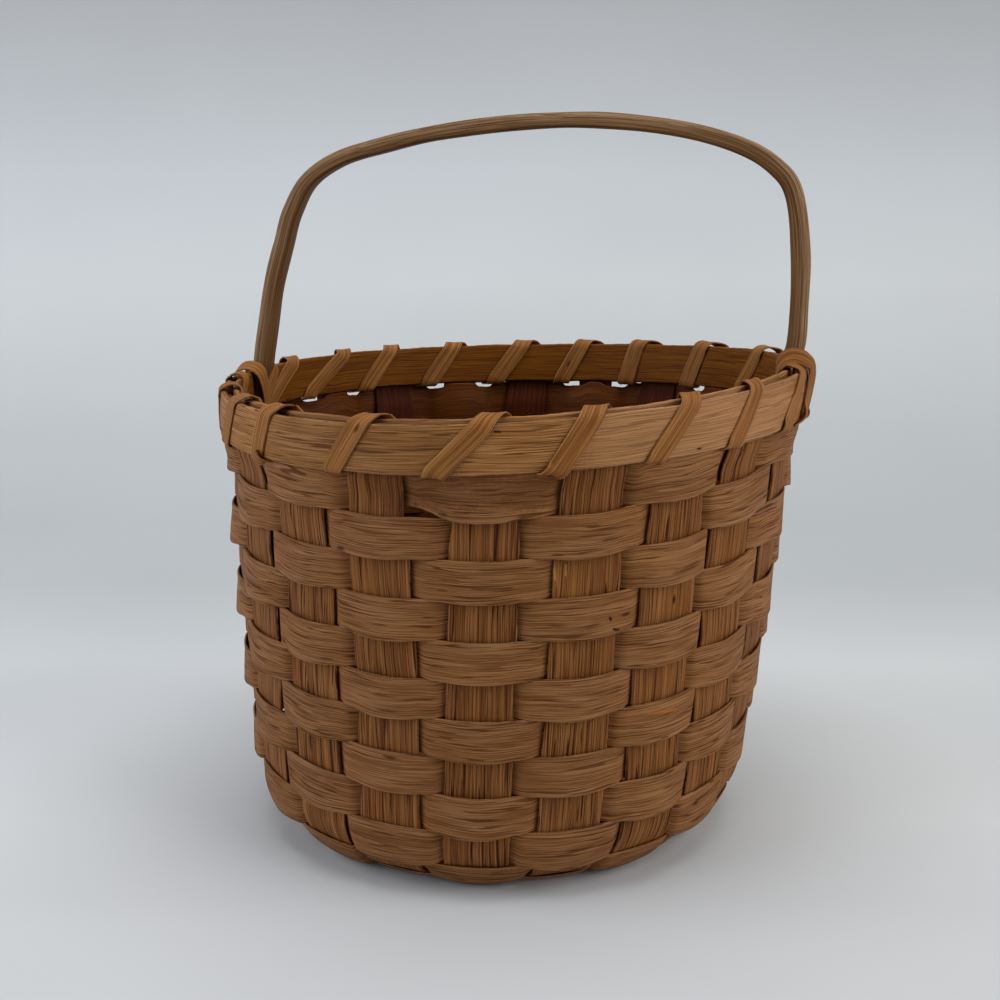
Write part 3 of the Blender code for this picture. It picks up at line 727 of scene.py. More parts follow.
@dataclass(frozen=True)
class Handle:
    """Bent handle: a bevelled bow whose legs thin into the rim and end in tongues inside the wall."""

    form: Form
    offset: float = math.radians(0.7)
    width: float = 0.0080
    outer_bevel: float = 0.0016
    inner_bevel: float = 0.0010
    swell: float = 0.0029
    rise: float = 0.0846
    top_thickness: float = 0.0052
    leg_thickness: float = 0.0062
    foot_thickness: float = 0.0042
    tongue_width: float = 0.0035
    tongue_shift: float = 0.0020
    tongue_thickness: float = 0.0018
    tongue_tip: float = 0.0010
    tongue_length: float = 0.0366
    steps: int = 26
    bow: tuple[tuple[float, float], ...] = (
        (-0.950, 0.112), (-0.907, 0.368), (-0.860, 0.554), (-0.823, 0.678), (-0.755, 0.800),
        (-0.641, 0.882), (-0.491, 0.929), (-0.270, 0.975), (0.018, 1.000), (0.300, 0.992),
        (0.577, 0.941), (0.783, 0.863), (0.905, 0.774), (0.971, 0.663), (1.000, 0.429),
        (1.001, 0.194), (0.996, 0.089))

    def __post_init__(self) -> None:
        """Work out where the feet stand."""
        form = self.form
        gap = form.stakes // 4 - 1
        shift = 0.5 * (form.shifts[gap] + form.shifts[gap + 1])
        put = lambda name, value: object.__setattr__(self, name, value)
        put("angle", form.phase + (gap + 0.5 + shift) * form.pitch + self.offset)
        put("foot_radius", form.inner_outside - form.gap - 0.5 * self.foot_thickness)
        put("span", self.foot_radius + self.swell)
        put("foot_gaps", (gap, gap + form.stakes // 2))

    def path(self) -> Array:
        """Middle line in the handle's own upright plane: sideways, height, thickness."""
        form, foot, leg = self.form, self.foot_thickness, self.leg_thickness
        posts = np.array(self.bow) * (self.span, self.rise) + (0.0, form.hoop_top)
        rim = form.hoop_top + form.stake_setback
        low = form.hoop_bottom + form.gap
        bend = form.stake_top
        left = [(-self.foot_radius, low), (-self.foot_radius, bend),
                (0.5 * (posts[0, 0] - self.foot_radius), rim)]
        right = [(0.5 * (posts[-1, 0] + self.foot_radius), rim), (self.foot_radius, bend),
                 (self.foot_radius, low)]
        line = curve(np.concatenate([left, posts, right]), self.steps)
        share = ease(2.0 * (line[:, 1] - form.hoop_top) / self.rise - 1.0)
        thick = leg + (self.top_thickness - leg) * share
        thin = ease((line[:, 1] - bend) / (rim - bend))
        return np.column_stack([line, foot + (thick - foot) * thin])

    def outline(self, thickness: Array, width: Array, outer: Array, inner: Array) -> tuple[Array, Array, Array]:
        """Bevelled section: eight corners, each cut short twice so that the bevels have soft edges.

        Args:
            thickness: Thickness at each ring.
            width: Width at each ring.
            outer: Bevel on the outer face's edges.
            inner: Bevel on the inner face's edges.

        Returns:
            Distance out, distance sideways, and how near each point is to an outer bevel.
        """
        half, wide = 0.5 * thickness[:, None], 0.5 * width[:, None]
        out_cut, in_cut = outer[:, None], inner[:, None]
        off = np.concatenate([-half, -half + in_cut, half - out_cut, half, half, half - out_cut,
                              -half + in_cut, -half], axis=1)
        side = np.concatenate([-wide + in_cut, -wide, -wide, -wide + out_cut, wide - out_cut, wide,
                               wide, wide - in_cut], axis=1)
        bevel = np.array([0.0, 0.1, 0.5, 0.6, 0.6, 0.5, 0.1, 0.0])
        cut = 0.16
        shares = np.array([-0.5, -cut, cut, 0.5])
        rounded = []
        for values in (off, side, np.broadcast_to(bevel, off.shape)):
            ahead = np.roll(values, -1, axis=1) - values
            back = np.roll(values, 1, axis=1) - values
            parts = [values + (-share) * back if share < 0.0 else values + share * ahead for share in shares[:3]]
            soft = values + 0.5 * cut * 0.5 * (ahead + back)
            rounded.append(np.stack([parts[0], parts[1], soft, parts[2]], axis=2).reshape(len(values), -1))
        return rounded[0], rounded[1], rounded[2]

    def make(self) -> None:
        """Carry the bevelled section along the bow, with a tongue at each end."""
        form = self.form
        path = self.path()
        low = form.hoop_bottom - form.gap
        end = low - self.tongue_length
        stops = np.linspace(end, low, 26)
        wall = form.profile(np.array([form.arc_at(z) for z in stops]))[0]
        wall = wall - form.run - 0.5 * form.weaver_thickness - 0.0004 - form.gap
        wall = np.minimum(wall, self.foot_radius)
        thin = self.tongue_tip + (self.tongue_thickness - self.tongue_tip) * ease((stops - end) / 0.012)
        rows = []
        for side in (-1.0, 1.0):
            tongue = np.column_stack([side * (wall - 0.5 * thin), stops, thin])
            rows.append(tongue if side < 0.0 else tongue[::-1])
        line = np.concatenate([rows[0], path, rows[1]])
        is_tongue = np.concatenate([np.ones(26), np.zeros(len(path)), np.ones(26)])
        side = np.where(np.arange(len(line)) < 0.5 * len(line), -1.0, 1.0)
        heading = unit(np.gradient(line[:, :2], axis=0))
        heading[is_tongue > 0.5] = (0.0, 1.0)
        heading[is_tongue > 0.5, 1] = -side[is_tongue > 0.5]
        run = lengths(line[:, :2])
        width = np.where(is_tongue > 0.5, self.tongue_width, self.width)
        shift = np.where(is_tongue > 0.5, side * self.tongue_shift, 0.0)
        uneven = 1.0 - is_tongue
        thick = line[:, 2] + wander(61, run, 0.05, 0.00018) * uneven
        width = width + wander(62, run, 0.06, 0.00022) * uneven
        outer = np.where(is_tongue > 0.5, 0.0004, self.outer_bevel + wander(63, run, 0.03, 0.00025))
        inner = np.where(is_tongue > 0.5, 0.0004, self.inner_bevel + wander(64, run, 0.04, 0.0002))
        off, wide, bevel = self.outline(thick, width, outer, inner)
        normal = np.column_stack([-heading[:, 1], heading[:, 0]])
        across = line[:, :1] + normal[:, :1] * off
        height = line[:, 1:2] + normal[:, 1:2] * off
        wide = wide + shift[:, None]
        points = form.on_ring(np.full_like(across, self.angle), across, height, wide)
        lay = np.stack([np.broadcast_to(run[:, None] + 70.0, off.shape), wide, off], axis=-1)
        shell = Shell()
        shell.add(points, lay, bevel)
        shell.build("bent_handle", Slot.HANDLE, ("handle",))


@dataclass(frozen=True)
class Rim:
    """The two hoops that hold the tops of the stakes, with the legs of the handle in the inner one."""

    form: Form
    handle: Handle
    section: Section = Section(inner_places=(-0.93, -0.7, -0.35, 0.0, 0.35, 0.7, 0.93), corner_points=4,
                               round_share=0.62)
    samples: int = 720
    lap_angle: float = math.radians(72.0)
    lap_length: float = math.radians(24.0)
    crown: float = 0.00025

    def outer(self) -> None:
        """Outer hoop: one splint once round, its two thinned ends lapped at the back."""
        form = self.form
        angle = np.linspace(0.0, 2.0 * math.pi + self.lap_length, self.samples)
        first = ease((self.lap_length + 0.02 - angle) / 0.03)
        last = ease((angle - 2.0 * math.pi + 0.02) / 0.03)
        thick = form.outer_hoop * (1.0 - 0.56 * (first + last))
        middle = form.outer_inside + 0.5 * form.outer_hoop + 0.26 * form.outer_hoop * (last - first)
        run = middle * angle
        self.band("rim_outer_hoop", self.lap_angle + angle, middle, thick, form.hoop_bottom, run, 1.0, 81)

    def inner(self) -> None:
        """Inner hoop in two halves, each from one handle leg round to the other, with eased ends."""
        form = self.form
        gone = (0.5 * self.handle.width + 2.0 * form.gap) / form.inner_inside
        for number, name in enumerate(("rim_inner_hoop_back", "rim_inner_hoop_front")):
            begin = self.handle.angle - math.pi * number
            angle = np.linspace(begin + gone, begin + math.pi - gone, self.samples // 2)
            middle = np.full(len(angle), form.inner_inside + 0.5 * form.inner_hoop)
            run = middle * (angle - angle[0])
            end = np.minimum(run, run[-1] - run)
            thick = form.inner_hoop * (0.55 + 0.45 * ease(end / 0.004))
            self.band(name, angle, middle, thick, form.hoop_bottom + form.inner_rise, run, -1.0, 84 + number)

    def band(self, name: str, angle: Array, radius: Array, thick: Array, low: float, run: Array,
             face: float, seed: int) -> None:
        """Upright band: the flat section stood on edge and carried round the rim.

        Args:
            name: Solid that the band stands for.
            angle: Angles round the rim.
            radius: Radius of the band's middle.
            thick: Thickness along it.
            low: Height of its lower edge.
            run: Length along it.
            face: 1 where the outer face shows, -1 where the inner one does.
            seed: Number that picks its unevenness.
        """
        form = self.form
        height = np.full(len(angle), form.hoop_height)
        across, through, place = self.section.spread(height, thick)
        top = wander(seed, run, 0.05, 0.00022) + wander(seed + 20, run, 0.007, 0.00006)
        under = wander(seed + 1, run, 0.06, 0.00020) + wander(seed + 21, run, 0.008, 0.00006)
        across = across + np.where(place > 0.0, top[:, None], under[:, None]) * np.abs(place) ** 2
        bow = wander(seed + 2, run, 0.08, 0.00012)
        out = through + face * self.crown * (1.0 - place ** 2) * (through * face > 0.0) + bow[:, None]
        middle = low + 0.5 * form.hoop_height
        points = form.on_ring(angle[:, None], radius[:, None] + out, middle + across)
        lay = np.stack([np.broadcast_to(run[:, None] + 1.1 * seed, across.shape), across, through], axis=-1)
        shell = Shell()
        shell.add(points, lay, np.clip(np.abs(place) ** 10 + 0.2, 0.0, 1.0))
        shell.build("band_" + name, Slot.RIM, (name,))

    def make(self) -> None:
        """Put both hoops in the scene."""
        self.outer()
        self.inner()


@dataclass(frozen=True)
class Lashing:
    """One splint wound round both hoops, and the strips that bind the feet of the handle."""

    form: Form
    handle: Handle
    section: Section = Section(inner_places=(-0.9, -0.6, -0.2, 0.2, 0.6, 0.9))
    width: float = 0.0065
    thickness: float = 0.00064
    standoff: float = 0.00008
    step: float = 0.0004
    reach: int = 4
    top_lean: float = math.radians(3.0)
    under_lean: float = math.radians(2.0)
    inner_shift: float = math.radians(0.7)
    foot_clear: float = 0.0006
    strap_width: float = 0.0060
    crowns: tuple[float, ...] = (
        0.48, 0.48, 0.44, 0.62, 0.62, 0.56, 0.72, 0.74, 0.59, 0.51,
        0.54, 0.51, 0.30, 0.26, 0.70, 0.48, 0.36, 0.15, 0.38, 0.56)
    shifts: tuple[float, ...] = (
        0.06, 0.0, 0.0, 0.0, 0.0, 0.0, 0.0, 0.0, 0.0, 0.0,
        0.0, 0.0, 0.0, 0.0, 0.0, 0.0, 0.0, -0.12, -0.02, 0.0)

    def loop(self) -> Array:
        """Posts of one turn round both hoops, a little off their rounded corners.

        Returns:
            Stage, radius and height of each post. Stage 0 to 1 is the outer face, up to 2 the
            arch over the top, up to 3 the inner face, up to 4 the way back under, each by length.
        """
        form = self.form
        off = self.standoff + 0.5 * self.thickness
        outer, inner, top, low = form.outer_outside, form.inner_inside, form.hoop_top, form.hoop_bottom
        middle = 0.5 * (outer + inner)
        posts = np.array([
            (outer + off, low + 0.0004), (outer + off + 0.0001, 0.5 * (low + top)), (outer + off, top - 0.0009),
            (outer - 0.0002, top + 0.0005), (outer - 0.0014, top + 0.0013), (middle, top + 0.0019),
            (inner + 0.0016, top + 0.0020), (inner + 0.0002, top + 0.0012), (inner - off, top - 0.0001),
            (inner - off - 0.0001, 0.5 * (top + low)), (inner - off, low + 0.0016), (inner + 0.0002, low + 0.0003),
            (inner + 0.0014, low), (outer - 0.0020, low - off), (outer - 0.0003, low - off),
            (outer + off, low + 0.0004)])
        run = lengths(posts)
        stage = np.interp(run, run[[0, 2, 8, 10, 15]], np.arange(5.0))
        return np.column_stack([stage, posts])[:-1]

    def walk(self, posts: Array) -> Array:
        """Even steps along the straight lines between posts, each column then softened.

        Args:
            posts: Angle, radius and height, and any further columns.

        Returns:
            Rows of the same columns.
        """
        form = self.form
        run = lengths(np.column_stack([posts[:, 0] * form.rim_radius, posts[:, 1:3]]))
        stops = np.linspace(0.0, run[-1], int(run[-1] / self.step))
        line = np.column_stack([np.interp(stops, run, column) for column in posts.T])
        return np.column_stack([soften(column, self.reach) for column in line.T])

    def posts(self) -> Array:
        """Posts of the whole lashing: the angle goes on while the loop repeats for every gap."""
        form, feet = self.form, self.handle.foot_gaps
        loop = self.loop()
        side = (0.5 * self.handle.width + self.foot_clear + 0.5 * self.width) / form.inner_inside
        rows = []
        for turn in range(-1, form.stakes):
            gap, after = form.gap_bearing(turn), form.gap_bearing(turn + 1)
            crown = gap + self.crowns[turn] * form.pitch
            bottom = after - 0.5 * self.under_lean + self.inner_shift
            if turn + 1 in feet:
                bottom = self.handle.angle + math.pi * feet.index(turn + 1) - side
            begin = gap + 0.5 * self.under_lean + self.shifts[turn] * form.pitch
            stops = (begin, crown - 0.5 * self.top_lean, crown + 0.5 * self.top_lean,
                     bottom, after + 0.5 * self.under_lean)
            angle = np.interp(loop[:, 0], np.arange(5.0), stops)
            rows.append(np.column_stack([angle, loop[:, 1:]]))
        return np.concatenate([rows[0][-2:], *rows[1:-1], rows[-1][:-3]])

    def wind(self) -> None:
        """The rim lashing: its face looks square to the way that it runs round the hoops."""
        form = self.form
        line = self.walk(self.posts())
        angle = line[:, 0]
        ahead = np.gradient(line[:, 1:3], axis=0)
        out, up = ahead[:, 1], -ahead[:, 0]
        centre = form.on_ring(angle, line[:, 1], line[:, 2])
        normal = unit(np.column_stack([out * np.cos(angle), out * np.sin(angle), up]))
        run = lengths(centre)
        width = self.width + wander(151, run, 0.09, 0.00040) + wander(152, run, 0.01, 0.00012)
        thick = np.full(len(run), self.thickness) + wander(153, run, 0.04, 0.00006)
        centre = centre + normal * (0.0001 + wander(154, run, 0.03, 0.00007))[:, None]
        shell = Shell()
        ribbon(shell, centre, normal, width, thick, self.section, 90.0, 0.00008)
        shell.build("wound_lashing", Slot.LASHING, ("rim_lashing",))

    def strap(self, lean: float) -> Array:
        """Posts of a foot's binding: over the leg inside, over the rim behind it, round again in front.

        Args:
            lean: How far the last turn leans up against the leg, from 0 to 1.

        Returns:
            Degrees from the leg towards the viewer, radius and height in millimetres from the
            outer hoop's outside and top, and the facing: outwards, towards the viewer, upwards.
        """
        low = 1000.0 * (self.form.hoop_bottom - self.form.hoop_top)
        return np.array([
            (2.0, -4.0, low - 0.4, 0.0, 0.0, -1.0), (2.0, -7.6, low - 0.2, -0.7, 0.0, -0.7),
            (1.6, -8.95, low + 1.6, -1.0, 0.0, 0.0), (-0.6, -8.95, low + 7.0, -1.0, 0.0, 0.0),
            (-3.0, -8.9, -2.5, -1.0, 0.0, 0.0), (-4.6, -8.3, 1.2, -0.8, -0.2, 0.5),
            (-4.9, -6.4, 2.8, -0.3, -0.3, 0.9), (-4.6, -3.4, 3.0, 0.1, -0.3, 0.95),
            (-4.0, -0.6, 1.8, 0.7, -0.2, 0.7), (-3.4, 1.0, -1.0, 1.0, 0.0, 0.0),
            (-1.6, 1.1, 0.5 * low, 1.0, 0.0, 0.0), (0.8, 0.95, low + 2.4, 1.0, 0.0, 0.0),
            (1.8, -0.3, low - 0.6, 0.2, 0.0, -1.0), (2.4, -3.2, low - 1.0, 0.0, 0.0, -1.0),
            (1.8, -8.2, low - 1.0, -0.6, 0.0, -0.8), (1.0, -9.65, low + 1.2, -1.0, 0.0, 0.0),
            (1.6, -9.7, low + 7.0, -1.0, 0.0, 0.0), (3.2, -9.6, -3.0, -1.0, 0.1, 0.0),
            (4.4, -9.1, 0.8, -0.85, 0.35, 0.35),
            (4.6, -7.6, 2.2 + 1.2 * lean, -0.4, 0.3 + 0.4 * lean, 0.8 - 0.2 * lean),
            (4.2, -4.6, 2.8 + 1.8 * lean, -0.05, 0.2 + 0.6 * lean, 0.95 - 0.35 * lean),
            (3.6, -1.4, 2.4 + 1.3 * lean, 0.3, 0.15 + 0.6 * lean, 0.9 - 0.3 * lean),
            (2.8, 0.8 + 1.0 * lean, 0.9 + 0.4 * lean, 0.8, 0.1 + 0.2 * lean, 0.5),
            (2.3, 1.2 + 0.9 * lean, -2.0, 1.0, 0.24 * lean, 0.1),
            (3.2, 1.1 + 0.5 * lean, -7.0, 1.0, 0.20 * lean, 0.0),
            (5.6, 1.1, low + 3.4, 1.0, 0.1 * lean, 0.0), (8.6, 0.6, low - 0.2, 0.6, 0.0, -0.8),
            (9.8, -2.4, low - 1.0, 0.0, 0.0, -1.0)])

    def bind(self) -> None:
        """Both bindings, each a mirror of the other about the view, the right one leaning up more."""
        form, handle = self.form, self.handle
        for number, (name, lean) in enumerate((("handle_binding_right", 1.0), ("handle_binding_left", 0.35))):
            foot = handle.angle + math.pi * number
            side = 2.0 * number - 1.0
            posts = self.strap(lean)
            posts[:, 0] = foot + side * np.radians(posts[:, 0])
            posts[:, 1] = form.outer_outside + 0.001 * posts[:, 1]
            posts[:, 2] = form.hoop_top + 0.001 * posts[:, 2]
            line = self.walk(posts)
            angle, out, near, up = line[:, 0], line[:, 3], side * line[:, 4], line[:, 5]
            centre = form.on_ring(angle, line[:, 1], line[:, 2])
            normal = np.column_stack([out * np.cos(angle) - near * np.sin(angle),
                                      out * np.sin(angle) + near * np.cos(angle), up])
            run = lengths(centre)
            width = self.strap_width + wander(170 + number, run, 0.04, 0.0003)
            shell = Shell()
            ribbon(shell, centre, unit(normal), width, np.full(len(run), self.thickness), self.section,
                   120.0 + 2.0 * number, 0.00006)
            shell.build("foot_" + name, Slot.LASHING, (name,))

    def make(self) -> None:
        """Put the lashing and both bindings in the scene."""
        self.wind()
        self.bind()


# Finishes


class Graph:
    """Short hand for laying nodes in one tree."""

    def __init__(self, tree: bpy.types.NodeTree) -> None:
        """Keep the tree that the nodes go into."""
        self.tree = tree

    def node(self, kind: str, **settings: object) -> bpy.types.Node:
        """New node of a kind, with its settings."""
        item = self.tree.nodes.new(kind)
        for name, value in settings.items():
            setattr(item, name, value)
        return item

    def put(self, socket: bpy.types.NodeSocket, value: object) -> None:
        """Link a socket's output to an input, or set the input to a plain value."""
        if isinstance(value, bpy.types.NodeSocket):
            self.tree.links.new(value, socket)
        else:
            socket.default_value = value

    def math(self, operation: str, *values: object, clamp: bool = False) -> bpy.types.NodeSocket:
        """Result of a Math node."""
        item = self.node("ShaderNodeMath", operation=operation, use_clamp=clamp)
        for socket, value in zip(item.inputs, values):
            self.put(socket, value)
        return item.outputs[0]

    def vector(self, x: object, y: object, z: object) -> bpy.types.NodeSocket:
        """Vector from three values."""
        item = self.node("ShaderNodeCombineXYZ")
        for socket, value in zip(item.inputs, (x, y, z)):
            self.put(socket, value)
        return item.outputs[0]

    def noise(self, vector: object, scale: float = 1.0, detail: float = 2.0, roughness: float = 0.5,
              distortion: float = 0.0) -> bpy.types.NodeSocket:
        """Value of a Noise Texture node."""
        item = self.node("ShaderNodeTexNoise", noise_dimensions="3D")
        self.put(item.inputs["Vector"], vector)
        for name, value in (("Scale", scale), ("Detail", detail), ("Roughness", roughness),
                            ("Distortion", distortion)):
            self.put(item.inputs[name], value)
        return item.outputs["Fac"]

    def stretch(self, x: object, y: object, z: object, along: float, across: float) -> bpy.types.NodeSocket:
        """Vector of three values, the first times one factor and the others times another."""
        return self.vector(self.math("MULTIPLY", x, along), self.math("MULTIPLY", y, across),
                           self.math("MULTIPLY", z, across))

    def combine(self, operation: str, first: object, second: object) -> bpy.types.Node:
        """Vector Math node of two vectors."""
        item = self.node("ShaderNodeVectorMath", operation=operation)
        self.put(item.inputs[0], first)
        self.put(item.inputs[1], second)
        return item

    def span(self, value: object, low: float, high: float, to_low: float = 0.0,
             to_high: float = 1.0) -> bpy.types.NodeSocket:
        """Value moved from one range to another, smoothly and clamped."""
        item = self.node("ShaderNodeMapRange", interpolation_type="SMOOTHSTEP")
        for socket, entry in zip(item.inputs, (value, low, high, to_low, to_high)):
            self.put(socket, entry)
        return item.outputs[0]

    def mix(self, share: object, first: object, second: object, blend: str = "MIX") -> bpy.types.NodeSocket:
        """Colour mixed from two colours."""
        item = self.node("ShaderNodeMix", data_type="RGBA", blend_type=blend)
        self.put(item.inputs[0], share)
        for socket, value in ((item.inputs[6], first), (item.inputs[7], second)):
            self.put(socket, (*value, 1.0) if isinstance(value, tuple) else value)
        return item.outputs[2]


class GrainGroup:
    """Node group of split wood: fibres, open grooves, growth bands and flecks along the grain."""

    NAME = "split_grain"
    INPUTS = (("Lay", "NodeSocketVector"), ("Line Width", "NodeSocketFloat"), ("Line Length", "NodeSocketFloat"),
              ("Band Width", "NodeSocketFloat"), ("Waver", "NodeSocketFloat"))
    OUTPUTS = ("Fibre", "Groove", "Band", "Patch", "Fleck", "Height")

    @classmethod
    def tree(cls) -> bpy.types.NodeTree:
        """The group, made the first time it is asked for.

        Each value is noise on the straightened coordinates, drawn out along the grain. The
        grooves are the crests of a cosine across the grain, whose phase noise shifts, so that
        they run on, part and meet; the flecks are rare small cells.

        Returns:
            The node group.
        """
        found = bpy.data.node_groups.get(cls.NAME)
        if found:
            return found
        tree = bpy.data.node_groups.new(cls.NAME, "ShaderNodeTree")
        for name, kind in cls.INPUTS:
            tree.interface.new_socket(name, in_out="INPUT", socket_type=kind)
        for name in cls.OUTPUTS:
            tree.interface.new_socket(name, in_out="OUTPUT", socket_type="NodeSocketFloat")
        g = Graph(tree)
        given = g.node("NodeGroupInput").outputs
        result = g.node("NodeGroupOutput").inputs
        parts = g.node("ShaderNodeSeparateXYZ")
        g.put(parts.inputs[0], given["Lay"])
        along, across, through = parts.outputs
        slow = g.noise(g.vector(g.math("MULTIPLY", along, 34.0), g.math("MULTIPLY", across, 90.0), through))
        quick = g.noise(g.vector(g.math("MULTIPLY", along, 160.0), g.math("MULTIPLY", across, 260.0), through))
        bend = g.math("MULTIPLY", g.math("SUBTRACT", slow, 0.5), given["Waver"])
        bend = g.math("ADD", bend, g.math("MULTIPLY", g.math("SUBTRACT", quick, 0.5),
                                          g.math("MULTIPLY", given["Waver"], 0.10)))
        shifted = g.math("ADD", across, bend)
        x = g.math("DIVIDE", along, given["Line Length"])
        y = g.math("DIVIDE", shifted, given["Line Width"])
        z = g.math("DIVIDE", through, given["Line Width"])
        fibre = g.span(g.noise(g.stretch(x, y, z, 1.0, 1.0), 1.0, 2.0, 0.60), 0.30, 0.70)
        spread = g.math("MULTIPLY", g.noise(g.stretch(x, y, z, 0.30, 0.13), 1.0, 1.0), 6.0)
        wobble = g.math("MULTIPLY", g.noise(g.stretch(x, y, z, 1.3, 0.45), 1.0, 0.5), 1.1)
        phase = g.math("ADD", g.math("MULTIPLY", y, 0.33), g.math("ADD", spread, wobble))
        line = g.span(g.math("COSINE", g.math("MULTIPLY", phase, 2.0 * math.pi)), 0.30, 0.88)
        strength = g.span(g.noise(g.stretch(x, y, z, 1.1, 0.40), 1.0, 1.0), 0.38, 0.60, 0.22, 1.0)
        streak = g.span(g.noise(g.stretch(x, y, z, 0.7, 0.60), 1.0, 1.0), 0.68, 0.72)
        groove = g.math("MAXIMUM", g.math("MULTIPLY", line, strength), streak)
        band_y = g.math("DIVIDE", shifted, given["Band Width"])
        band = g.noise(g.vector(g.math("MULTIPLY", x, 0.3), band_y, g.math("DIVIDE", through, given["Band Width"])),
                       1.0, 2.0, 0.5)
        patch = g.noise(g.vector(g.math("MULTIPLY", along, 22.0), g.math("MULTIPLY", across, 60.0), 0.0), 1.0, 3.0)
        cells = g.node("ShaderNodeTexVoronoi", feature="F1", voronoi_dimensions="2D")
        g.put(cells.inputs["Vector"], g.vector(g.math("MULTIPLY", along, 90.0), g.math("MULTIPLY", shifted, 240.0),
                                               0.0))
        g.put(cells.inputs["Scale"], 1.0)
        near = g.span(cells.outputs["Distance"], 0.05, 0.20, 1.0, 0.0)
        rare = g.node("ShaderNodeSeparateColor")
        g.put(rare.inputs[0], cells.outputs["Color"])
        fleck = g.math("MULTIPLY", near, g.math("GREATER_THAN", rare.outputs[0], 0.985))
        height = g.math("SUBTRACT", g.math("MULTIPLY", fibre, 0.6), g.math("MULTIPLY", groove, 0.8))
        height = g.math("ADD", height, g.math("MULTIPLY", band, 0.6))
        for name, value in zip(cls.OUTPUTS, (fibre, groove, band, patch, fleck, height)):
            g.put(result[name], value)
        return tree


class MarkGroup:
    """Node group of one mark: full within a radius of a straight line, fading out unevenly."""

    NAME = "wood_mark"
    INPUTS = (("Place", "NodeSocketVector"), ("Start", "NodeSocketVector"), ("Run", "NodeSocketVector"),
              ("Radius", "NodeSocketFloat"))

    @classmethod
    def tree(cls) -> bpy.types.NodeTree:
        """The group, made the first time it is asked for.

        The nearest point of the line lies at the share of its run that the place's own offset
        from the start covers, held between nought and one.

        Returns:
            The node group.
        """
        found = bpy.data.node_groups.get(cls.NAME)
        if found:
            return found
        tree = bpy.data.node_groups.new(cls.NAME, "ShaderNodeTree")
        for name, kind in cls.INPUTS:
            tree.interface.new_socket(name, in_out="INPUT", socket_type=kind)
        tree.interface.new_socket("Mask", in_out="OUTPUT", socket_type="NodeSocketFloat")
        g = Graph(tree)
        given = g.node("NodeGroupInput").outputs
        offset = g.combine("SUBTRACT", given["Place"], given["Start"]).outputs["Vector"]
        covered = g.combine("DOT_PRODUCT", offset, given["Run"]).outputs["Value"]
        whole = g.combine("DOT_PRODUCT", given["Run"], given["Run"]).outputs["Value"]
        share = g.math("DIVIDE", covered, g.math("MAXIMUM", whole, 1e-9), clamp=True)
        nearest = g.combine("MULTIPLY", given["Run"], g.vector(share, share, share)).outputs["Vector"]
        gone = g.combine("DISTANCE", offset, nearest).outputs["Value"]
        ragged = g.math("ADD", g.math("DIVIDE", gone, given["Radius"]),
                        g.math("MULTIPLY", g.noise(given["Place"], 900.0, 2.0), 0.8))
        g.put(g.node("NodeGroupOutput").inputs["Mask"], g.span(ragged, 0.75, 1.30, 1.0, 0.0))
        return tree


@dataclass(frozen=True)
class Mark:
    """One mark laid over the wood's colour, painted shade, painted light, a scratch or a stain: a line between two
    places, how far it spreads, and its colour.
    """

    start: tuple[float, float, float]
    end: tuple[float, float, float]
    radius: float
    colour: Colour
    share: float = 0.9

    def over(self, g: "Graph", colour: object, place: object) -> bpy.types.NodeSocket:
        """The colour with the mark laid over it."""
        group = g.node("ShaderNodeGroup")
        group.node_tree = MarkGroup.tree()
        run = tuple(last - first for first, last in zip(self.start, self.end))
        for name, value in (("Place", place), ("Start", self.start), ("Run", run), ("Radius", self.radius)):
            g.put(group.inputs[name], value)
        return g.mix(g.math("MULTIPLY", group.outputs["Mask"], self.share), colour, self.colour)


